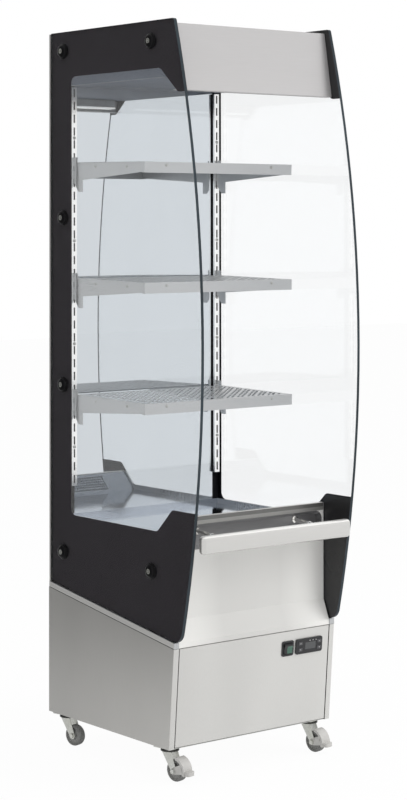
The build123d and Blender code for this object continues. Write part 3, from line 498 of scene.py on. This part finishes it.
def polished_steel(name, tone, rough=(0.006, 0.016), wave=0.0002):
    """Mirror-polished sheet, very slightly wavy, with faint wiping marks."""
    steel = Finish(name, {"Metallic": 1.0})
    wipes = steel.noise(14.0, (1, 1, 0.3), 4.0)
    waves = steel.noise(2.2, detail=1.0)
    return steel.done(steel.mottled(wipes, tone, 0.985, 1.0), steel.spread(wipes, *rough),
                      steel.bump(waves, wave, 0.6))


def zinc_plate(name, tone, rough=(0.28, 0.46)):
    """Bright zinc plate with a faint spangle and a warm and cool drift."""
    zinc = Finish(name, {"Metallic": 0.9})
    cells = zinc.add("ShaderNodeTexVoronoi", {"Vector": zinc.place, "Scale": 160.0})
    drift = zinc.noise(24.0, detail=3.0)
    spangle = zinc.between(0.55, cells.outputs["Distance"], drift)
    warm = (tone[0], tone[1] * 0.985, tone[2] * 0.93)
    return zinc.done(zinc.tones(zinc.spread(drift, 0, 1), lighter(tone, 0.92), warm),
                     zinc.spread(spangle, *rough, 0.2, 0.7), zinc.bump(drift, 0.00005, 0.4))


def moulded_plastic(name, tone, rough=0.42, coat=0.0, depth=0.00003, gloss=0.5):
    """Moulded plastic with a fine spark-eroded texture."""
    plastic = Finish(name, {"Specular IOR Level": gloss, "Coat Weight": coat,
                            "Coat Roughness": 0.12})
    patches = plastic.noise(18.0)
    return plastic.done(plastic.mottled(patches, tone, 0.92, 1.08),
                        plastic.spread(patches, rough * 0.88, rough * 1.12),
                        plastic.bump(plastic.noise(900.0), depth, 0.5))


def dull_black(name):
    """Matt black, for rubber, and for painted shade on what lies in shade."""
    return moulded_plastic(name, bpy.context.scene.warmer_controls.plastic, 0.6, gloss=0.1)


def clear_glass():
    """Toughened glass that lets the lamps through, with faint wiping marks."""
    tint = bpy.context.scene.warmer_glass.tint
    glass = Finish("side_glass", {"Base Color": (*tint, 1), "Transmission Weight": 1.0,
                                  "IOR": 1.5, "Specular IOR Level": 0.25})
    glass.set("Roughness", glass.spread(glass.noise(9.0, (1, 1, 0.4), 4.0), 0.0, 0.008))
    lets = glass.add("ShaderNodeBsdfTransparent", {"Color": (*tint, 1)})
    glass.shaded(glass.add("ShaderNodeLightPath").outputs["Is Shadow Ray"], lets)
    return glass.material


def painted_glass_edge():
    """Polished edge of the glass, nearly black with paler runs: a painted reflection."""
    edge = Finish("painted_glass_edge", {"Specular IOR Level": 0.12})
    runs = edge.noise(7.0, (1, 1, 0.6), 3.0)
    edge.set("Base Color", edge.mottled(runs, bpy.context.scene.warmer_glass.edge, 1.0, 1.7))
    edge.set("Roughness", edge.spread(runs, 0.2, 0.35))
    return edge.material


def border_film(name, tone, rough, gloss):
    """Fired black border, with a trace of pinholes and dust."""
    film = Finish(name, {"Specular IOR Level": gloss})
    dust = film.noise(260.0, detail=4.0)
    return film.done(film.mottled(dust, tone, 1.0, 1.35, 0.35, 0.8),
                     film.spread(film.noise(3.0), rough * 0.85, rough * 1.2),
                     film.bump(film.noise(40.0), 0.00003, 0.3))


def lit_opal():
    """Opal diffuser of the lamp, its glow a little uneven along its length."""
    opal = Finish("opal", {"Base Color": (0.93, 0.93, 0.90, 1), "Roughness": 0.35,
                           "Emission Color": (1.0, 0.97, 0.92, 1), "Subsurface Weight": 0.15,
                           "Subsurface Scale": 0.004})
    opal.set("Emission Strength", opal.spread(opal.noise(6.0, (1, 0.2, 0.2)), 0.55, 0.7))
    return opal.material


def rubber_tread(name, tone):
    """Grey rubber with floor dust in its surface."""
    rubber = Finish(name, {"Specular IOR Level": 0.35})
    dust = rubber.noise(90.0, detail=5.0)
    grain = rubber.noise(1400.0, detail=1.0)
    return rubber.done(rubber.mottled(dust, tone, 0.82, 1.2), rubber.spread(dust, 0.55, 0.75),
                       rubber.bump(grain, 0.00004, 0.5, rubber.bump(dust, 0.0001, 0.3)))


def seen_directly(tree):
    """Output that is 1 for what the camera sees, also in metal and through glass."""
    path = tree.nodes.new("ShaderNodeLightPath")
    seen = path.outputs["Is Camera Ray"]
    for kind in ("Is Glossy Ray", "Is Transmission Ray"):
        either = tree.nodes.new("ShaderNodeMath")
        either.operation = "MAXIMUM"
        tree.links.new(seen, either.inputs[0])
        tree.links.new(path.outputs[kind], either.inputs[1])
        seen = either.outputs[0]
    return seen


def studio_white(name, tone, glow):
    """Pale floor, drawn partly as plain white where it is seen directly or in metal and glass."""
    floor = Finish(name, {"Roughness": 0.9, "Specular IOR Level": 0.0})
    floor.set("Base Color", floor.mottled(floor.noise(1.5), tone, 0.995, 1.0))
    part = floor.add("ShaderNodeMath", {0: seen_directly(floor.tree), 1: glow},
                     operation="MULTIPLY")
    floor.shaded(part.outputs[0],
                 floor.add("ShaderNodeEmission", {"Color": (1, 1, 1, 1), "Strength": 1.0}))
    return floor.material


# Pieces

class WARMER_OT_base(bpy.types.Operator):
    """Folded steel of the base: sides, service panel, back cover and floor"""
    bl_idname = "warmer.base"
    bl_label = "Base"

    def execute(self, context):
        sizes = context.scene.warmer_sheet
        front = brushed_steel("base_sheet", sizes.steel, along=2)
        # Painted shade and light: a darker copy of the steel for the sides, made lighter towards
        # the front by its drift
        side = brushed_steel("side_sheet_painted_shade", sizes.side, along=2, metallic=0.6, bands=0.05,
                             drift=("Y", 0.2, -0.2, 0.22))
        black = dull_black("seal_rubber_and_painted_shade")
        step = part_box("service_panel")[1].x + sizes.fold_radius
        for hand in HANDS:
            piece = sheet_piece(f"base_side_{hand}", "folded", front)
            # Painted shade: faces towards the sides take the darker copy
            second_finish(piece, side, lambda face: abs(face.normal.x) > 0.9)
            # Painted shade: the step behind the edge of the service panel lies in shade, and is
            # given the black of the seals
            second_finish(piece, black, lambda face: abs(face.center.x) < step
                          and face.center.y < 0)
        self.seals(black)
        sheet_piece("service_panel", "folded", front)
        sheet_piece("back_cover", "folded", front)
        dressed(zinc_plate("floor_zinc", sizes.zinc), "base_floor")
        gland = moulded_plastic("gland_plastic", (0.02, 0.02, 0.02), 0.5)
        solid_piece("inlet_gland", "moulded", gland, 0.0006)
        return {"FINISHED"}

    def seals(self, rubber):
        """Rubber bead in the sloping seam between the base and the rim, on both sides."""
        low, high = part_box("base_side_right")
        fall = high.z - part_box("front_panel")[0].z
        width, height, proud, above, short = 0.0018, 0.0014, 0.0003, 0.0004, 0.004
        pick()
        bpy.ops.mesh.primitive_cube_add(size=1, scale=(width, high.y - low.y - short, height))
        bead = settle(bpy.context.active_object)
        with editing(bead):
            mark(bead, "VERT", lambda vertex: vertex.co.y < 0)
            bpy.ops.transform.translate(value=(0, 0, -fall))
        edged(bead, 0.0004, 3)
        x, y, z = high.x + proud - width / 2, (low.y + high.y) / 2, high.z + above
        piece = set_out(bead, "rim_seals", [((side * x, y, z), (0, 0, 0)) for side in SIDES])
        smooth(piece)
        fitted(piece, rubber, on="base_side_right")


class WARMER_OT_front(bpy.types.Operator):
    """Front panel with its pressed recess, canopy front and top cover"""
    bl_idname = "warmer.front"
    bl_label = "Fronts"

    def execute(self, context):
        sizes = context.scene.warmer_sheet
        self.front_panel(sizes)
        canopy = brushed_steel("canopy_sheet", sizes.canopy, along=0, rough=(0.36, 0.46))
        sheet_piece("canopy_fascia", "folded", canopy)
        piece = sheet_piece("canopy_top", "folded", canopy)
        second_finish(piece, roof_steel("canopy_side_steel", along=1),
                      lambda face: abs(face.normal.x) > 0.9)
        return {"FINISHED"}

    def front_panel(self, sizes):
        """Panel whose polished top band and pressed recess have painted reflections and painted
        shade, in darker and lighter tones.
        """
        # Painted light: the drift lightens the panel towards both ends, against the shade beside
        # the black cheeks
        panel = brushed_steel("panel_sheet", lighter(sizes.steel, 1.04), along=2, metallic=0.2,
                              rough=(0.42, 0.5), bands=0.02, drift=("X", 0.09, 0.225, 0.36))
        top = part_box("front_panel")[1].z
        band, strip = top - 0.0095, top - 0.018
        piece = sheet_piece("front_panel", "pressed", panel,
                            [((0, 0, height), (0, 0, 1)) for height in (band, strip)])
        upright = [face for face in piece.data.polygons if face.normal.y < -0.999]
        mouth = max(upright, key=lambda face: face.area).center.y
        tub_foot, tub_head = 0.519, 0.584

        def pressed(face):
            return (tub_foot < face.center.z < tub_head and face.normal.y < -0.3
                    and face.center.y > mouth + 0.0006)

        def above(face, height):
            return (abs(face.center.y - mouth) < 0.0005 and face.normal.y < -0.9
                    and face.center.z > height)

        tub = sizes.recess
        # Painted reflection and shade: darker tones on the strip and band above the recess and in
        # the recess, its faces lighter or darker by the way they face
        finishes = (
            ("strip_painted_reflection", lighter(sizes.steel, 0.56), lambda face: above(face, strip)),
            ("band_painted_reflection", lighter(sizes.steel, 0.27), lambda face: above(face, band)),
            ("tub_painted_shade", tub, pressed),
            ("tub_foot_painted_light", lighter(tub, 1.9), lambda face: pressed(face)
             and face.normal.z > 0.3),
            ("tub_head_painted_shade", lighter(tub, 1.2), lambda face: pressed(face)
             and face.normal.z < -0.3),
            ("tub_end_painted_shade", lighter(tub, 0.3), lambda face: pressed(face)
             and abs(face.normal.x) > 0.6),
        )
        for name, tone, test in finishes:
            second_finish(piece, brushed_steel(name, tone, along=0, metallic=0.5,
                                               rough=(0.26, 0.36), bands=0.14), test)


class WARMER_OT_chamber(bpy.types.Operator):
    """Warm chamber: side frames, deck, air grille, mirror wall, ceiling and rails"""
    bl_idname = "warmer.chamber"
    bl_label = "Chamber"

    def execute(self, context):
        sizes = context.scene.warmer_sheet
        upright = brushed_steel("inner_steel", sizes.inner, along=2, metallic=0.8,
                                rough=(0.24, 0.36))
        dressed(polished_steel("deck_steel", sizes.deck, (0.08, 0.14), 0.0003), "deck")
        dressed(polished_steel("grille_steel", lighter(sizes.deck, 0.52), (0.1, 0.16)),
                "air_grille")
        dressed(roof_steel("roof_steel", along=0), "ceiling")
        dressed(upright, "duct_partition")
        self.side_frames(sizes, upright)
        self.wall_and_rails(sizes)
        self.rail_screws()
        return {"FINISHED"}

    def side_frames(self, sizes, upright):
        """Inner walls, whose rim shows outside under the glass."""
        rim = brushed_steel("rim_steel", lighter(sizes.steel, 0.85), along=1)
        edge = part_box("side_frame_right")[1].x - 0.0005
        for hand in HANDS:
            piece = solid_piece(f"side_frame_{hand}", "folded", upright, 0.0002)
            second_finish(piece, rim, lambda face: abs(face.center.x) > edge)

    def wall_and_rails(self, sizes):
        """Polished wall and slotted rails, with painted shade in black behind the rails and in
        their slots.
        """
        black = dull_black("rail_painted_shade")
        low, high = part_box("rail_right")
        middle, back = (low.y + high.y) / 2, low.y + 0.0012
        centre, reach = (low.x + high.x) / 2, (high.x - low.x) / 2 - 0.0002
        mirror = polished_steel("mirror_sheet", sizes.mirror)
        wall = solid_piece("mirror_wall", "polished", mirror, 0.0002,
                           cuts=[((side * low.x, 0, 0), (1, 0, 0)) for side in SIDES])
        # Painted shade: the wall behind the rails and beyond them is black
        second_finish(wall, black, lambda face: abs(face.center.x) > low.x)

        def behind(face):
            outer = abs(abs(face.center.x) - centre) > reach
            return face.center.y > (middle if outer else back)

        bright = polished_steel("rail_steel", (0.97, 0.97, 0.965), (0.12, 0.2), 0.0001)
        for hand in HANDS:
            piece = solid_piece(f"rail_{hand}", "pressed", bright, 0.0003,
                                cuts=[((0, middle, 0), (0, 1, 0))])
            # Painted shade: the rear of the rail's outer walls and its inner faces are black
            second_finish(piece, black, behind)

    def rail_screws(self):
        """Pan heads with a cross slot, on the bridges of the rails."""
        low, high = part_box("rail_screws")
        radius, height, rows = 0.004, 0.0018, 4
        zinc = zinc_plate("screw_zinc", bpy.context.scene.warmer_sheet.zinc)
        head = pan_head("rail_screw_head", radius, height)
        pitch = (high.z - low.z - 2 * radius) / (rows - 1)
        places = [((side * (high.x - radius), low.y + height, low.z + radius + row * pitch),
                   (0, 0, -pi / 2)) for side in SIDES for row in range(rows)]
        piece = set_out(head, "rail_screw_heads", places)
        fitted(piece, zinc, "rail_screws")


def pan_head(name, radius, height):
    """Screw head standing along +X, with a cross slot pressed in it."""
    steps, slot_depth = 24, height * 0.5
    profile = [(0.0, height), (radius * 0.5, height * 0.97), (radius * 0.8, height * 0.8),
               (radius * 0.95, height * 0.5), (radius, height * 0.15), (radius, 0.0),
               (0.0, 0.0)]
    piece = spun(name, profile, steps)

    def in_slot(face):
        centre = face.calc_center_median()
        if centre.x <= height * 0.96:
            return False
        turns = Vector((0, 1, 0)).angle(Vector((0, *centre.yz))) / tau
        return round(turns * steps + 0.5) % (steps // 4) < 2

    with editing(piece):
        mark(piece, "FACE", in_slot)
        bpy.ops.mesh.extrude_region_move(TRANSFORM_OT_translate={"value": (-slot_depth, 0, 0)})
    smooth(piece)
    return piece


class WARMER_OT_glass(bpy.types.Operator):
    """Bowed side glass, its black border film and the caps of its screws"""
    bl_idname = "warmer.glass"
    bl_label = "Glass sides"

    cap_radius = 0.019

    def execute(self, context):
        sizes = context.scene.warmer_glass
        body, edge = clear_glass(), painted_glass_edge()
        low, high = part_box("glass_caps")
        rear, front = high.y - self.cap_radius, low.y + self.cap_radius

        def outer_edge(face):
            clear = min(abs(face.center.y - column) for column in (rear, front))
            return abs(face.normal.x) < 0.5 and clear > 0.006

        for hand in HANDS:
            piece = solid_piece(f"glass_{hand}", "polished", body, sizes.chamfer)
            # Painted reflection: the edge faces take the near-black tone
            second_finish(piece, edge, outer_edge)
        self.film(sizes)
        self.caps(context, rear, front)
        dressed(zinc_plate("bolt_zinc", context.scene.warmer_sheet.zinc), "glass_screws")
        return {"FINISHED"}

    def film(self, sizes):
        """Film fired into the glass with no air between them, its rear border trimmed."""
        piece = twin("glass_borders", "fired")
        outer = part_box("glass_borders")[1].x
        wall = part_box("mirror_wall")[0]
        # Front edge of the rear border, and the reach of its rounded corners
        border, corner = wall.y - 0.025, 0.019
        for vertex in piece.data.vertices:
            if abs(vertex.co.x) > outer - 0.0001:
                vertex.co.x += sizes.film_bond * (1 if vertex.co.x > 0 else -1)
            if border - corner < vertex.co.y < border + 0.0005 and vertex.co.z > wall.z - corner:
                vertex.co.y += sizes.film_trim
        fitted(piece, border_film("black_film", sizes.film_outside, 0.6, 0.0),
               "glass_borders")
        second_finish(piece, border_film("film_back", sizes.film_inside, 0.3, 0.5),
                      lambda face: face.normal.x * face.center.x < 0 and abs(face.normal.x) > 0.5)

    def caps(self, context, rear, front):
        """Stepped round caps, turned once and set on every screw."""
        low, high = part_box("glass_caps")
        radius, height, rows = self.cap_radius, 0.009, 4
        profile = [(0.0, height), (0.0019, height), (0.0023, 0.0086), (0.0028, 0.0085),
                   (0.0032, 0.0089), (0.006, 0.0088), (0.0105, 0.0085), (0.0135, 0.0078),
                   (0.0152, 0.0066), (0.0159, 0.0050), (0.0160, 0.0034), (0.0163, 0.0031),
                   (0.0178, 0.0029), (0.0186, 0.0024), (radius, 0.0016), (radius, 0.0),
                   (0.0172, 0.0), (0.0168, 0.0012), (0.0, 0.0012)]
        cap = spun("cap", profile, 56)
        smooth(cap, 50)
        foot, top = low.z + radius, high.z - radius
        pitch = (top - foot) / (rows - 1)
        screws = [(rear, foot + row * pitch) for row in range(rows)] + [(front, foot), (front, top)]
        places = [((side * (high.x - height), y, z), outward(side))
                  for side in SIDES for y, z in screws]
        piece = set_out(cap, "glass_caps_turned", places)
        black = moulded_plastic("cap_plastic", lighter(context.scene.warmer_controls.plastic, 0.45),
                                0.25, depth=0.00001, gloss=0.1)
        fitted(piece, black, "glass_caps")
        # Painted highlight: the raised pin at the top of each cap is bright zinc where the dome's
        # highlight falls
        tip = high.x - 0.0002
        second_finish(piece, zinc_plate("cap_pin_painted_highlight", context.scene.warmer_castors.plate),
                      lambda face: abs(face.center.x) > tip)


class WARMER_OT_handle(bpy.types.Operator):
    """Push bar on its two posts"""
    bl_idname = "warmer.handle"
    bl_label = "Handle"

    def execute(self, context):
        steel = context.scene.warmer_sheet.steel
        bar = brushed_steel("handle_coat", lighter(steel, 1.02), along=0, metallic=0.7,
                            rough=(0.18, 0.28), bands=0.06)
        posts = brushed_steel("post_steel", lighter(steel, 1.3), along=1, metallic=1.0,
                              rough=(0.05, 0.1), bands=0.03)
        # Painted highlight: upward faces of the bar get a lighter copy of its steel
        top_highlight = brushed_steel("handle_top_painted_highlight", lighter(steel, 1.4), along=0, metallic=0.5,
                              rough=(0.2, 0.3), bands=0.02)
        piece = solid_piece("handle_bar", "folded", bar, 0.0004)
        second_finish(piece, top_highlight, lambda face: face.normal.z > 0.5)
        solid_piece("handle_posts", "turned", posts, 0.0004)
        return {"FINISHED"}


class WARMER_OT_shelves(bpy.types.Operator):
    """Lift-off trays with their brackets and lip screws"""
    bl_idname = "warmer.shelves"
    bl_label = "Shelves"

    def execute(self, context):
        tone = context.scene.warmer_sheet.inner
        tray = brushed_steel("tray_steel", tone, along=0, metallic=0.8, rough=(0.26, 0.38))
        arm = brushed_steel("bracket_steel", lighter(tone, 1.05), along=1, metallic=0.8,
                            rough=(0.26, 0.38))
        zinc = zinc_plate("shelf_screw_zinc", context.scene.warmer_sheet.zinc)
        for level in LEVELS:
            dressed(tray, f"shelf_{level}")
            self.screws(level, zinc)
            solid_piece(f"brackets_{level}", "cut", arm, 0.0003)
        return {"FINISHED"}

    def screws(self, level, zinc):
        """Screws through the lip, and through the side plates under the tray."""
        low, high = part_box(f"shelf_{level}")
        side_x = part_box(f"brackets_{level}")[1].x
        lip_x, lip_drop = 0.158, 0.008
        plate_depths, plate_drop = (0.0, 0.127), 0.011

        def tray(y):
            return high.z - (high.y - y) * SHELF_FALL

        places = [((side * lip_x, low.y - 0.0001, tray(low.y) - lip_drop), (0, 0, -pi / 2))
                  for side in SIDES]
        places += [((side * side_x, y, tray(y) - plate_drop), outward(side))
                   for side in SIDES for y in plate_depths]
        screw = pan_head("shelf_screw", 0.0035, 0.0014)
        fitted(set_out(screw, f"shelf_screws_{level}", places), zinc,
               on=f"shelf_{level}")


class WARMER_OT_controls(bpy.types.Operator):
    """Power switch, temperature controller and its keys"""
    bl_idname = "warmer.controls"
    bl_label = "Controls"

    def execute(self, context):
        sizes = context.scene.warmer_controls
        black = moulded_plastic("black_plastic", sizes.plastic, 0.38)
        self.switch_frame(black)
        solid_piece("controller", "moulded", black, 0.0005, 3)
        self.rocker(sizes, black)
        paint = moulded_plastic("mark_paint", sizes.mark, 0.5)
        self.push_keys(sizes, paint)
        self.lights(paint)
        lens = moulded_plastic("display_lens", sizes.lens, 0.08, coat=1.0, depth=0.000002)
        solid_piece("controller_window", "lens", lens, 0.0002)
        return {"FINISHED"}

    def rocker(self, sizes, black):
        """Green rocker, black along its left side and its top."""
        side, head = 0.011, 0.0075
        low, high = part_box("rocker")
        left, top = low.x + side, high.z - head
        green = moulded_plastic("green_key", sizes.switch, 0.2, coat=0.5, depth=0.00001)
        piece = solid_piece("rocker", "moulded", green, 0.0006, 3,
                            [((left, 0, 0), (1, 0, 0)), ((0, 0, top), (0, 0, 1))])
        second_finish(piece, black, lambda face: face.center.x < left or face.center.z > top)

    def push_keys(self, sizes, paint):
        """Four keys with an arrow each, up or down in turn."""
        grey = moulded_plastic("grey_key", sizes.keys, 0.55)
        arrow = self.arrow()
        for number in range(1, 5):
            solid_piece(f"key_{number}", "moulded", grey, 0.0006, 3)
            low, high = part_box(f"key_{number}")
            place = ((low.x + high.x) / 2, low.y + 0.0005, (low.z + high.z) / 2)
            piece = again(arrow, f"key_{number}_mark", at=place,
                          turn=(-FRONT_LEAN, pi if number % 2 == 0 else 0, 0))
            fitted(piece, paint, on=f"key_{number}")
        bpy.data.objects.remove(arrow)

    def switch_frame(self, black):
        """Frame of the power switch, its four corners rounded."""
        low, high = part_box("rocker_frame")
        corner_radius, flange = 0.005, 0.006
        piece = twin("rocker_frame", "moulded")

        def corner(edge):
            first, last = (vertex.co for vertex in edge.verts)
            outer = min(first.x - low.x, high.x - first.x) < 0.0003
            along_y = abs((last - first).normalized().y) > 0.9
            return outer and along_y and abs(first.y - low.y) < flange

        with editing(piece):
            mark(piece, "EDGE", corner)
            bpy.ops.mesh.bevel(offset=corner_radius, segments=6, affect="EDGES",
                               clamp_overlap=True)
        edged(piece, 0.0006, 3)
        smooth(piece)
        fitted(piece, black, "rocker_frame")

    def arrow(self):
        """Small raised triangle of a key, facing the front."""
        pick()
        bpy.ops.mesh.primitive_cylinder_add(vertices=3, radius=0.0017, depth=0.0004)
        piece = settle(bpy.context.active_object, turn=(pi / 2, 0, 0))
        edged(piece, 0.0001)
        return piece

    def lights(self, paint):
        """Row of pilot lamps above the window, three of them."""
        low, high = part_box("controller")
        window_low, window_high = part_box("controller_window")
        x = (window_low.x + window_high.x) / 2
        z = (window_high.z + high.z) / 2 - 0.0015
        y = low.y + (high.z - z) * sin(FRONT_LEAN)
        dome = spun("dome", [(0.0, 0.0007), (0.0006, 0.00062), (0.0011, 0.0003), (0.0013, -0.0002),
                             (0.0, -0.0002)], 20)
        smooth(dome)
        piece = set_out(dome, "pilot_lamps", [((x + step, y, z), (0, FRONT_LEAN, -pi / 2))
                                              for step in (-0.002, 0.0075, 0.017)])
        fitted(piece, paint, on="controller")


class WARMER_OT_lamp(bpy.types.Operator):
    """Lamp under the ceiling: housing and lit diffuser"""
    bl_idname = "warmer.lamp"
    bl_label = "Lamp"

    def execute(self, context):
        paint = moulded_plastic("lamp_paint", (0.62, 0.62, 0.61), 0.4)
        sheet_piece("lamp_housing", "folded", paint)
        solid_piece("lamp_diffuser", "opal", lit_opal(), 0.0015, 4)
        return {"FINISHED"}


class WARMER_OT_warm_air(bpy.types.Operator):
    """Fan and tube heater in the rear duct"""
    bl_idname = "warmer.warm_air"
    bl_label = "Warm air"

    def execute(self, context):
        black = context.scene.warmer_controls.plastic
        dressed(zinc_plate("heater_steel", (0.20, 0.185, 0.175), (0.45, 0.6)), "heater")
        dressed(moulded_plastic("fan_plastic", black, 0.5), "fan_frame")
        dressed(moulded_plastic("blade_plastic", lighter(black, 1.4), 0.4), "fan_blade")
        return {"FINISHED"}


class WARMER_OT_castors(bpy.types.Operator):
    """Four swivel castors, the front pair with brake pedals"""
    bl_idname = "warmer.castors"
    bl_label = "Castors"

    def execute(self, context):
        sizes = context.scene.warmer_castors
        plate_depth, collar_depth = 0.0033, 0.0052
        plate = zinc_plate("zinc", sizes.plate)
        # Painted shade: a dark copy of the zinc for the ball race between plate and fork, where
        # shade falls
        shaded_race = zinc_plate("race_painted_shade", lighter(sizes.plate, 0.1), (0.4, 0.55))
        piece = solid_piece("castor_plates", "pressed", plate, 0.0005)
        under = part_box("castor_plates")[1].z - plate_depth
        second_finish(piece, shaded_race, lambda face: face.center.z < under)
        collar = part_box("fork_front_left")[1].z - collar_depth
        wheel = self.wheel(sizes)
        tread = rubber_tread("castor_tread", sizes.tread)
        centre = moulded_plastic("wheel_centre", sizes.centre, 0.45)
        pedal = moulded_plastic("pedal_plastic", sizes.pedal, 0.4)
        for corner, turn in CASTOR_TURNS.items():
            low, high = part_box(f"wheel_{corner}")
            middle = (low + high) / 2
            piece = again(wheel, f"wheel_{corner}_turned", at=middle, turn=(0, 0, radians(turn)))
            fitted(piece, centre, f"wheel_{corner}")
            second_finish(piece, tread,
                          lambda face: (face.center - middle).length > sizes.tread_from)
            fork = solid_piece(f"fork_{corner}", "pressed", plate, 0.0005,
                               cuts=[((0, 0, collar), (0, 0, 1))])
            # Painted shade: the top of the fork under the plate takes the dark copy
            second_finish(fork, shaded_race, lambda face: face.center.z > collar)
            solid_piece(f"axle_{corner}", "turned", plate, 0.0003)
        for corner in BRAKED:
            solid_piece(f"pedal_{corner}", "moulded", pedal, 0.0012, 4)
        bpy.data.objects.remove(wheel)
        return {"FINISHED"}

    def wheel(self, sizes):
        """Wheel about the X axis: bore, hub, dished web and rounded tread."""
        half = [(0.00305, 0.0088), (0.0086, 0.0090), (0.0090, 0.0086), (0.0094, 0.0054),
                (0.0105, 0.0050), (0.0172, 0.0050), (0.0185, 0.0056), (0.0190, 0.0084),
                (0.0194, 0.0090), (0.0218, 0.0090), (0.0232, 0.0086), (0.0244, 0.0074),
                (0.0249, 0.0058), (0.0250, 0.0036)]
        profile = half + [(radius, -along) for radius, along in reversed(half)]
        piece = spun("wheel", profile + profile[:1], sizes.turned_steps)
        smooth(piece, 50)
        return piece


class WARMER_OT_stage(bpy.types.Operator):
    """Floor, studio light and camera"""
    bl_idname = "warmer.stage"
    bl_label = "Stage"

    def execute(self, context):
        sizes = context.scene.warmer_studio
        context.scene.view_settings.view_transform = "Standard"
        self.floor(sizes)
        self.world(context, sizes)
        self.softbox("key", sizes.key_power, 2.6, (2.6, -3.2, 2.9))
        self.softbox("top", sizes.top_power, 2.4, (0.2, -0.6, 4.2))
        self.flag((-1.0, 1.1, 1.1))
        self.camera(context, sizes)
        return {"FINISHED"}

    def floor(self, sizes):
        pick()
        bpy.ops.mesh.primitive_plane_add(size=30)
        floor = named("floor")
        floor.data.materials.append(studio_white("floor", sizes.floor, sizes.floor_glow))

    def world(self, context, sizes):
        """Soft light from all round, drawn as plain white where it is seen directly."""
        world = bpy.data.worlds.new("studio")
        context.scene.world = world
        world.use_nodes = True
        tree = world.node_tree
        soft, white = tree.nodes["Background"], tree.nodes.new("ShaderNodeBackground")
        for light, strength in ((soft, sizes.sky), (white, 1.0)):
            light.inputs["Color"].default_value = (1, 1, 1, 1)
            light.inputs["Strength"].default_value = strength
        mixed = tree.nodes.new("ShaderNodeMixShader")
        parts = (seen_directly(tree), soft.outputs[0], white.outputs[0])
        for part, socket in zip(parts, mixed.inputs):
            tree.links.new(part, socket)
        tree.links.new(mixed.outputs[0], tree.nodes["World Output"].inputs[0])

    def softbox(self, name, watts, size, place):
        pick()
        bpy.ops.object.light_add(type="AREA", location=place)
        lamp = named(name)
        lamp.data.energy = watts
        lamp.data.size = size
        lamp.visible_glossy = lamp.visible_transmission = False
        aim = Vector((0, 0, 0.9)) - Vector(place)
        lamp.rotation_euler = aim.to_track_quat("-Z", "Y").to_euler()

    def flag(self, place):
        """Grey card seen only in reflections, so that the glass side shows less light."""
        pick()
        bpy.ops.mesh.primitive_plane_add(size=2.2, location=place)
        card = named("flag")
        card.rotation_euler = (0, pi / 2, 0)
        grey = Finish("card_grey", {"Roughness": 0.9, "Specular IOR Level": 0.0})
        grey.set("Base Color",
                 grey.tones(grey.noise(2.0), (0.16, 0.16, 0.155), (0.20, 0.20, 0.195)))
        card.data.materials.append(grey.material)
        card.visible_camera = card.visible_transmission = False
        card.visible_diffuse = card.visible_shadow = False

    def camera(self, context, sizes):
        """Level camera at the front left, its picture shifted so that uprights stay upright."""
        pick()
        bpy.ops.object.camera_add()
        camera = named("camera")
        place = Vector((-3.036179, -3.860459, 1.267700))
        right = Vector((0.78557808, -0.61876120, -0.00128740))
        up = Vector((-0.00626933, -0.01003999, 0.99992994))
        ahead = Vector((0.61873078, 0.78551498, 0.01176641))
        turn = Matrix((right, up, -ahead)).transposed()
        camera.matrix_world = Matrix.Translation(place) @ turn.to_4x4()
        camera.data.sensor_width = 36.0
        camera.data.lens = sizes.lens
        camera.data.shift_y = -0.25
        context.scene.camera = camera


PIECES = (WARMER_OT_base, WARMER_OT_front, WARMER_OT_chamber, WARMER_OT_glass, WARMER_OT_handle,
          WARMER_OT_shelves, WARMER_OT_controls, WARMER_OT_lamp, WARMER_OT_warm_air,
          WARMER_OT_castors, WARMER_OT_stage)


class WARMER_PT_pieces(bpy.types.Panel):
    """Lists the pieces and the stage"""
    bl_idname = "WARMER_PT_pieces"
    bl_label = "Display warmer"
    bl_space_type = "VIEW_3D"
    bl_region_type = "UI"
    bl_category = "Warmer"

    def draw(self, context):
        for piece in PIECES:
            self.layout.operator(piece.bl_idname)
        for name in SETTINGS:
            group = getattr(context.scene, name)
            column = self.layout.column()
            for prop in group.bl_rna.properties:
                if prop.identifier not in {"rna_type", "name"}:
                    column.prop(group, prop.identifier)


SETTINGS = {
    "warmer_sheet": SheetSettings,
    "warmer_glass": GlassSettings,
    "warmer_controls": ControlSettings,
    "warmer_castors": CastorSettings,
    "warmer_studio": StudioSettings,
}


def register():
    for group in SETTINGS.values():
        bpy.utils.register_class(group)
    for name, group in SETTINGS.items():
        setattr(bpy.types.Scene, name, PointerProperty(type=group))
    for piece in PIECES:
        bpy.utils.register_class(piece)
    bpy.utils.register_class(WARMER_PT_pieces)


def unregister():
    bpy.utils.unregister_class(WARMER_PT_pieces)
    for piece in reversed(PIECES):
        bpy.utils.unregister_class(piece)
    for name, group in SETTINGS.items():
        delattr(bpy.types.Scene, name)
        bpy.utils.unregister_class(group)


def main():
    """Makes every piece."""
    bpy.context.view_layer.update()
    register()
    bpy.ops.warmer.base()
    bpy.ops.warmer.front()
    bpy.ops.warmer.chamber()
    bpy.ops.warmer.glass()
    bpy.ops.warmer.handle()
    bpy.ops.warmer.shelves()
    bpy.ops.warmer.controls()
    bpy.ops.warmer.lamp()
    bpy.ops.warmer.warm_air()
    bpy.ops.warmer.castors()
    bpy.ops.warmer.stage()


if __name__ == "__main__":
    main()
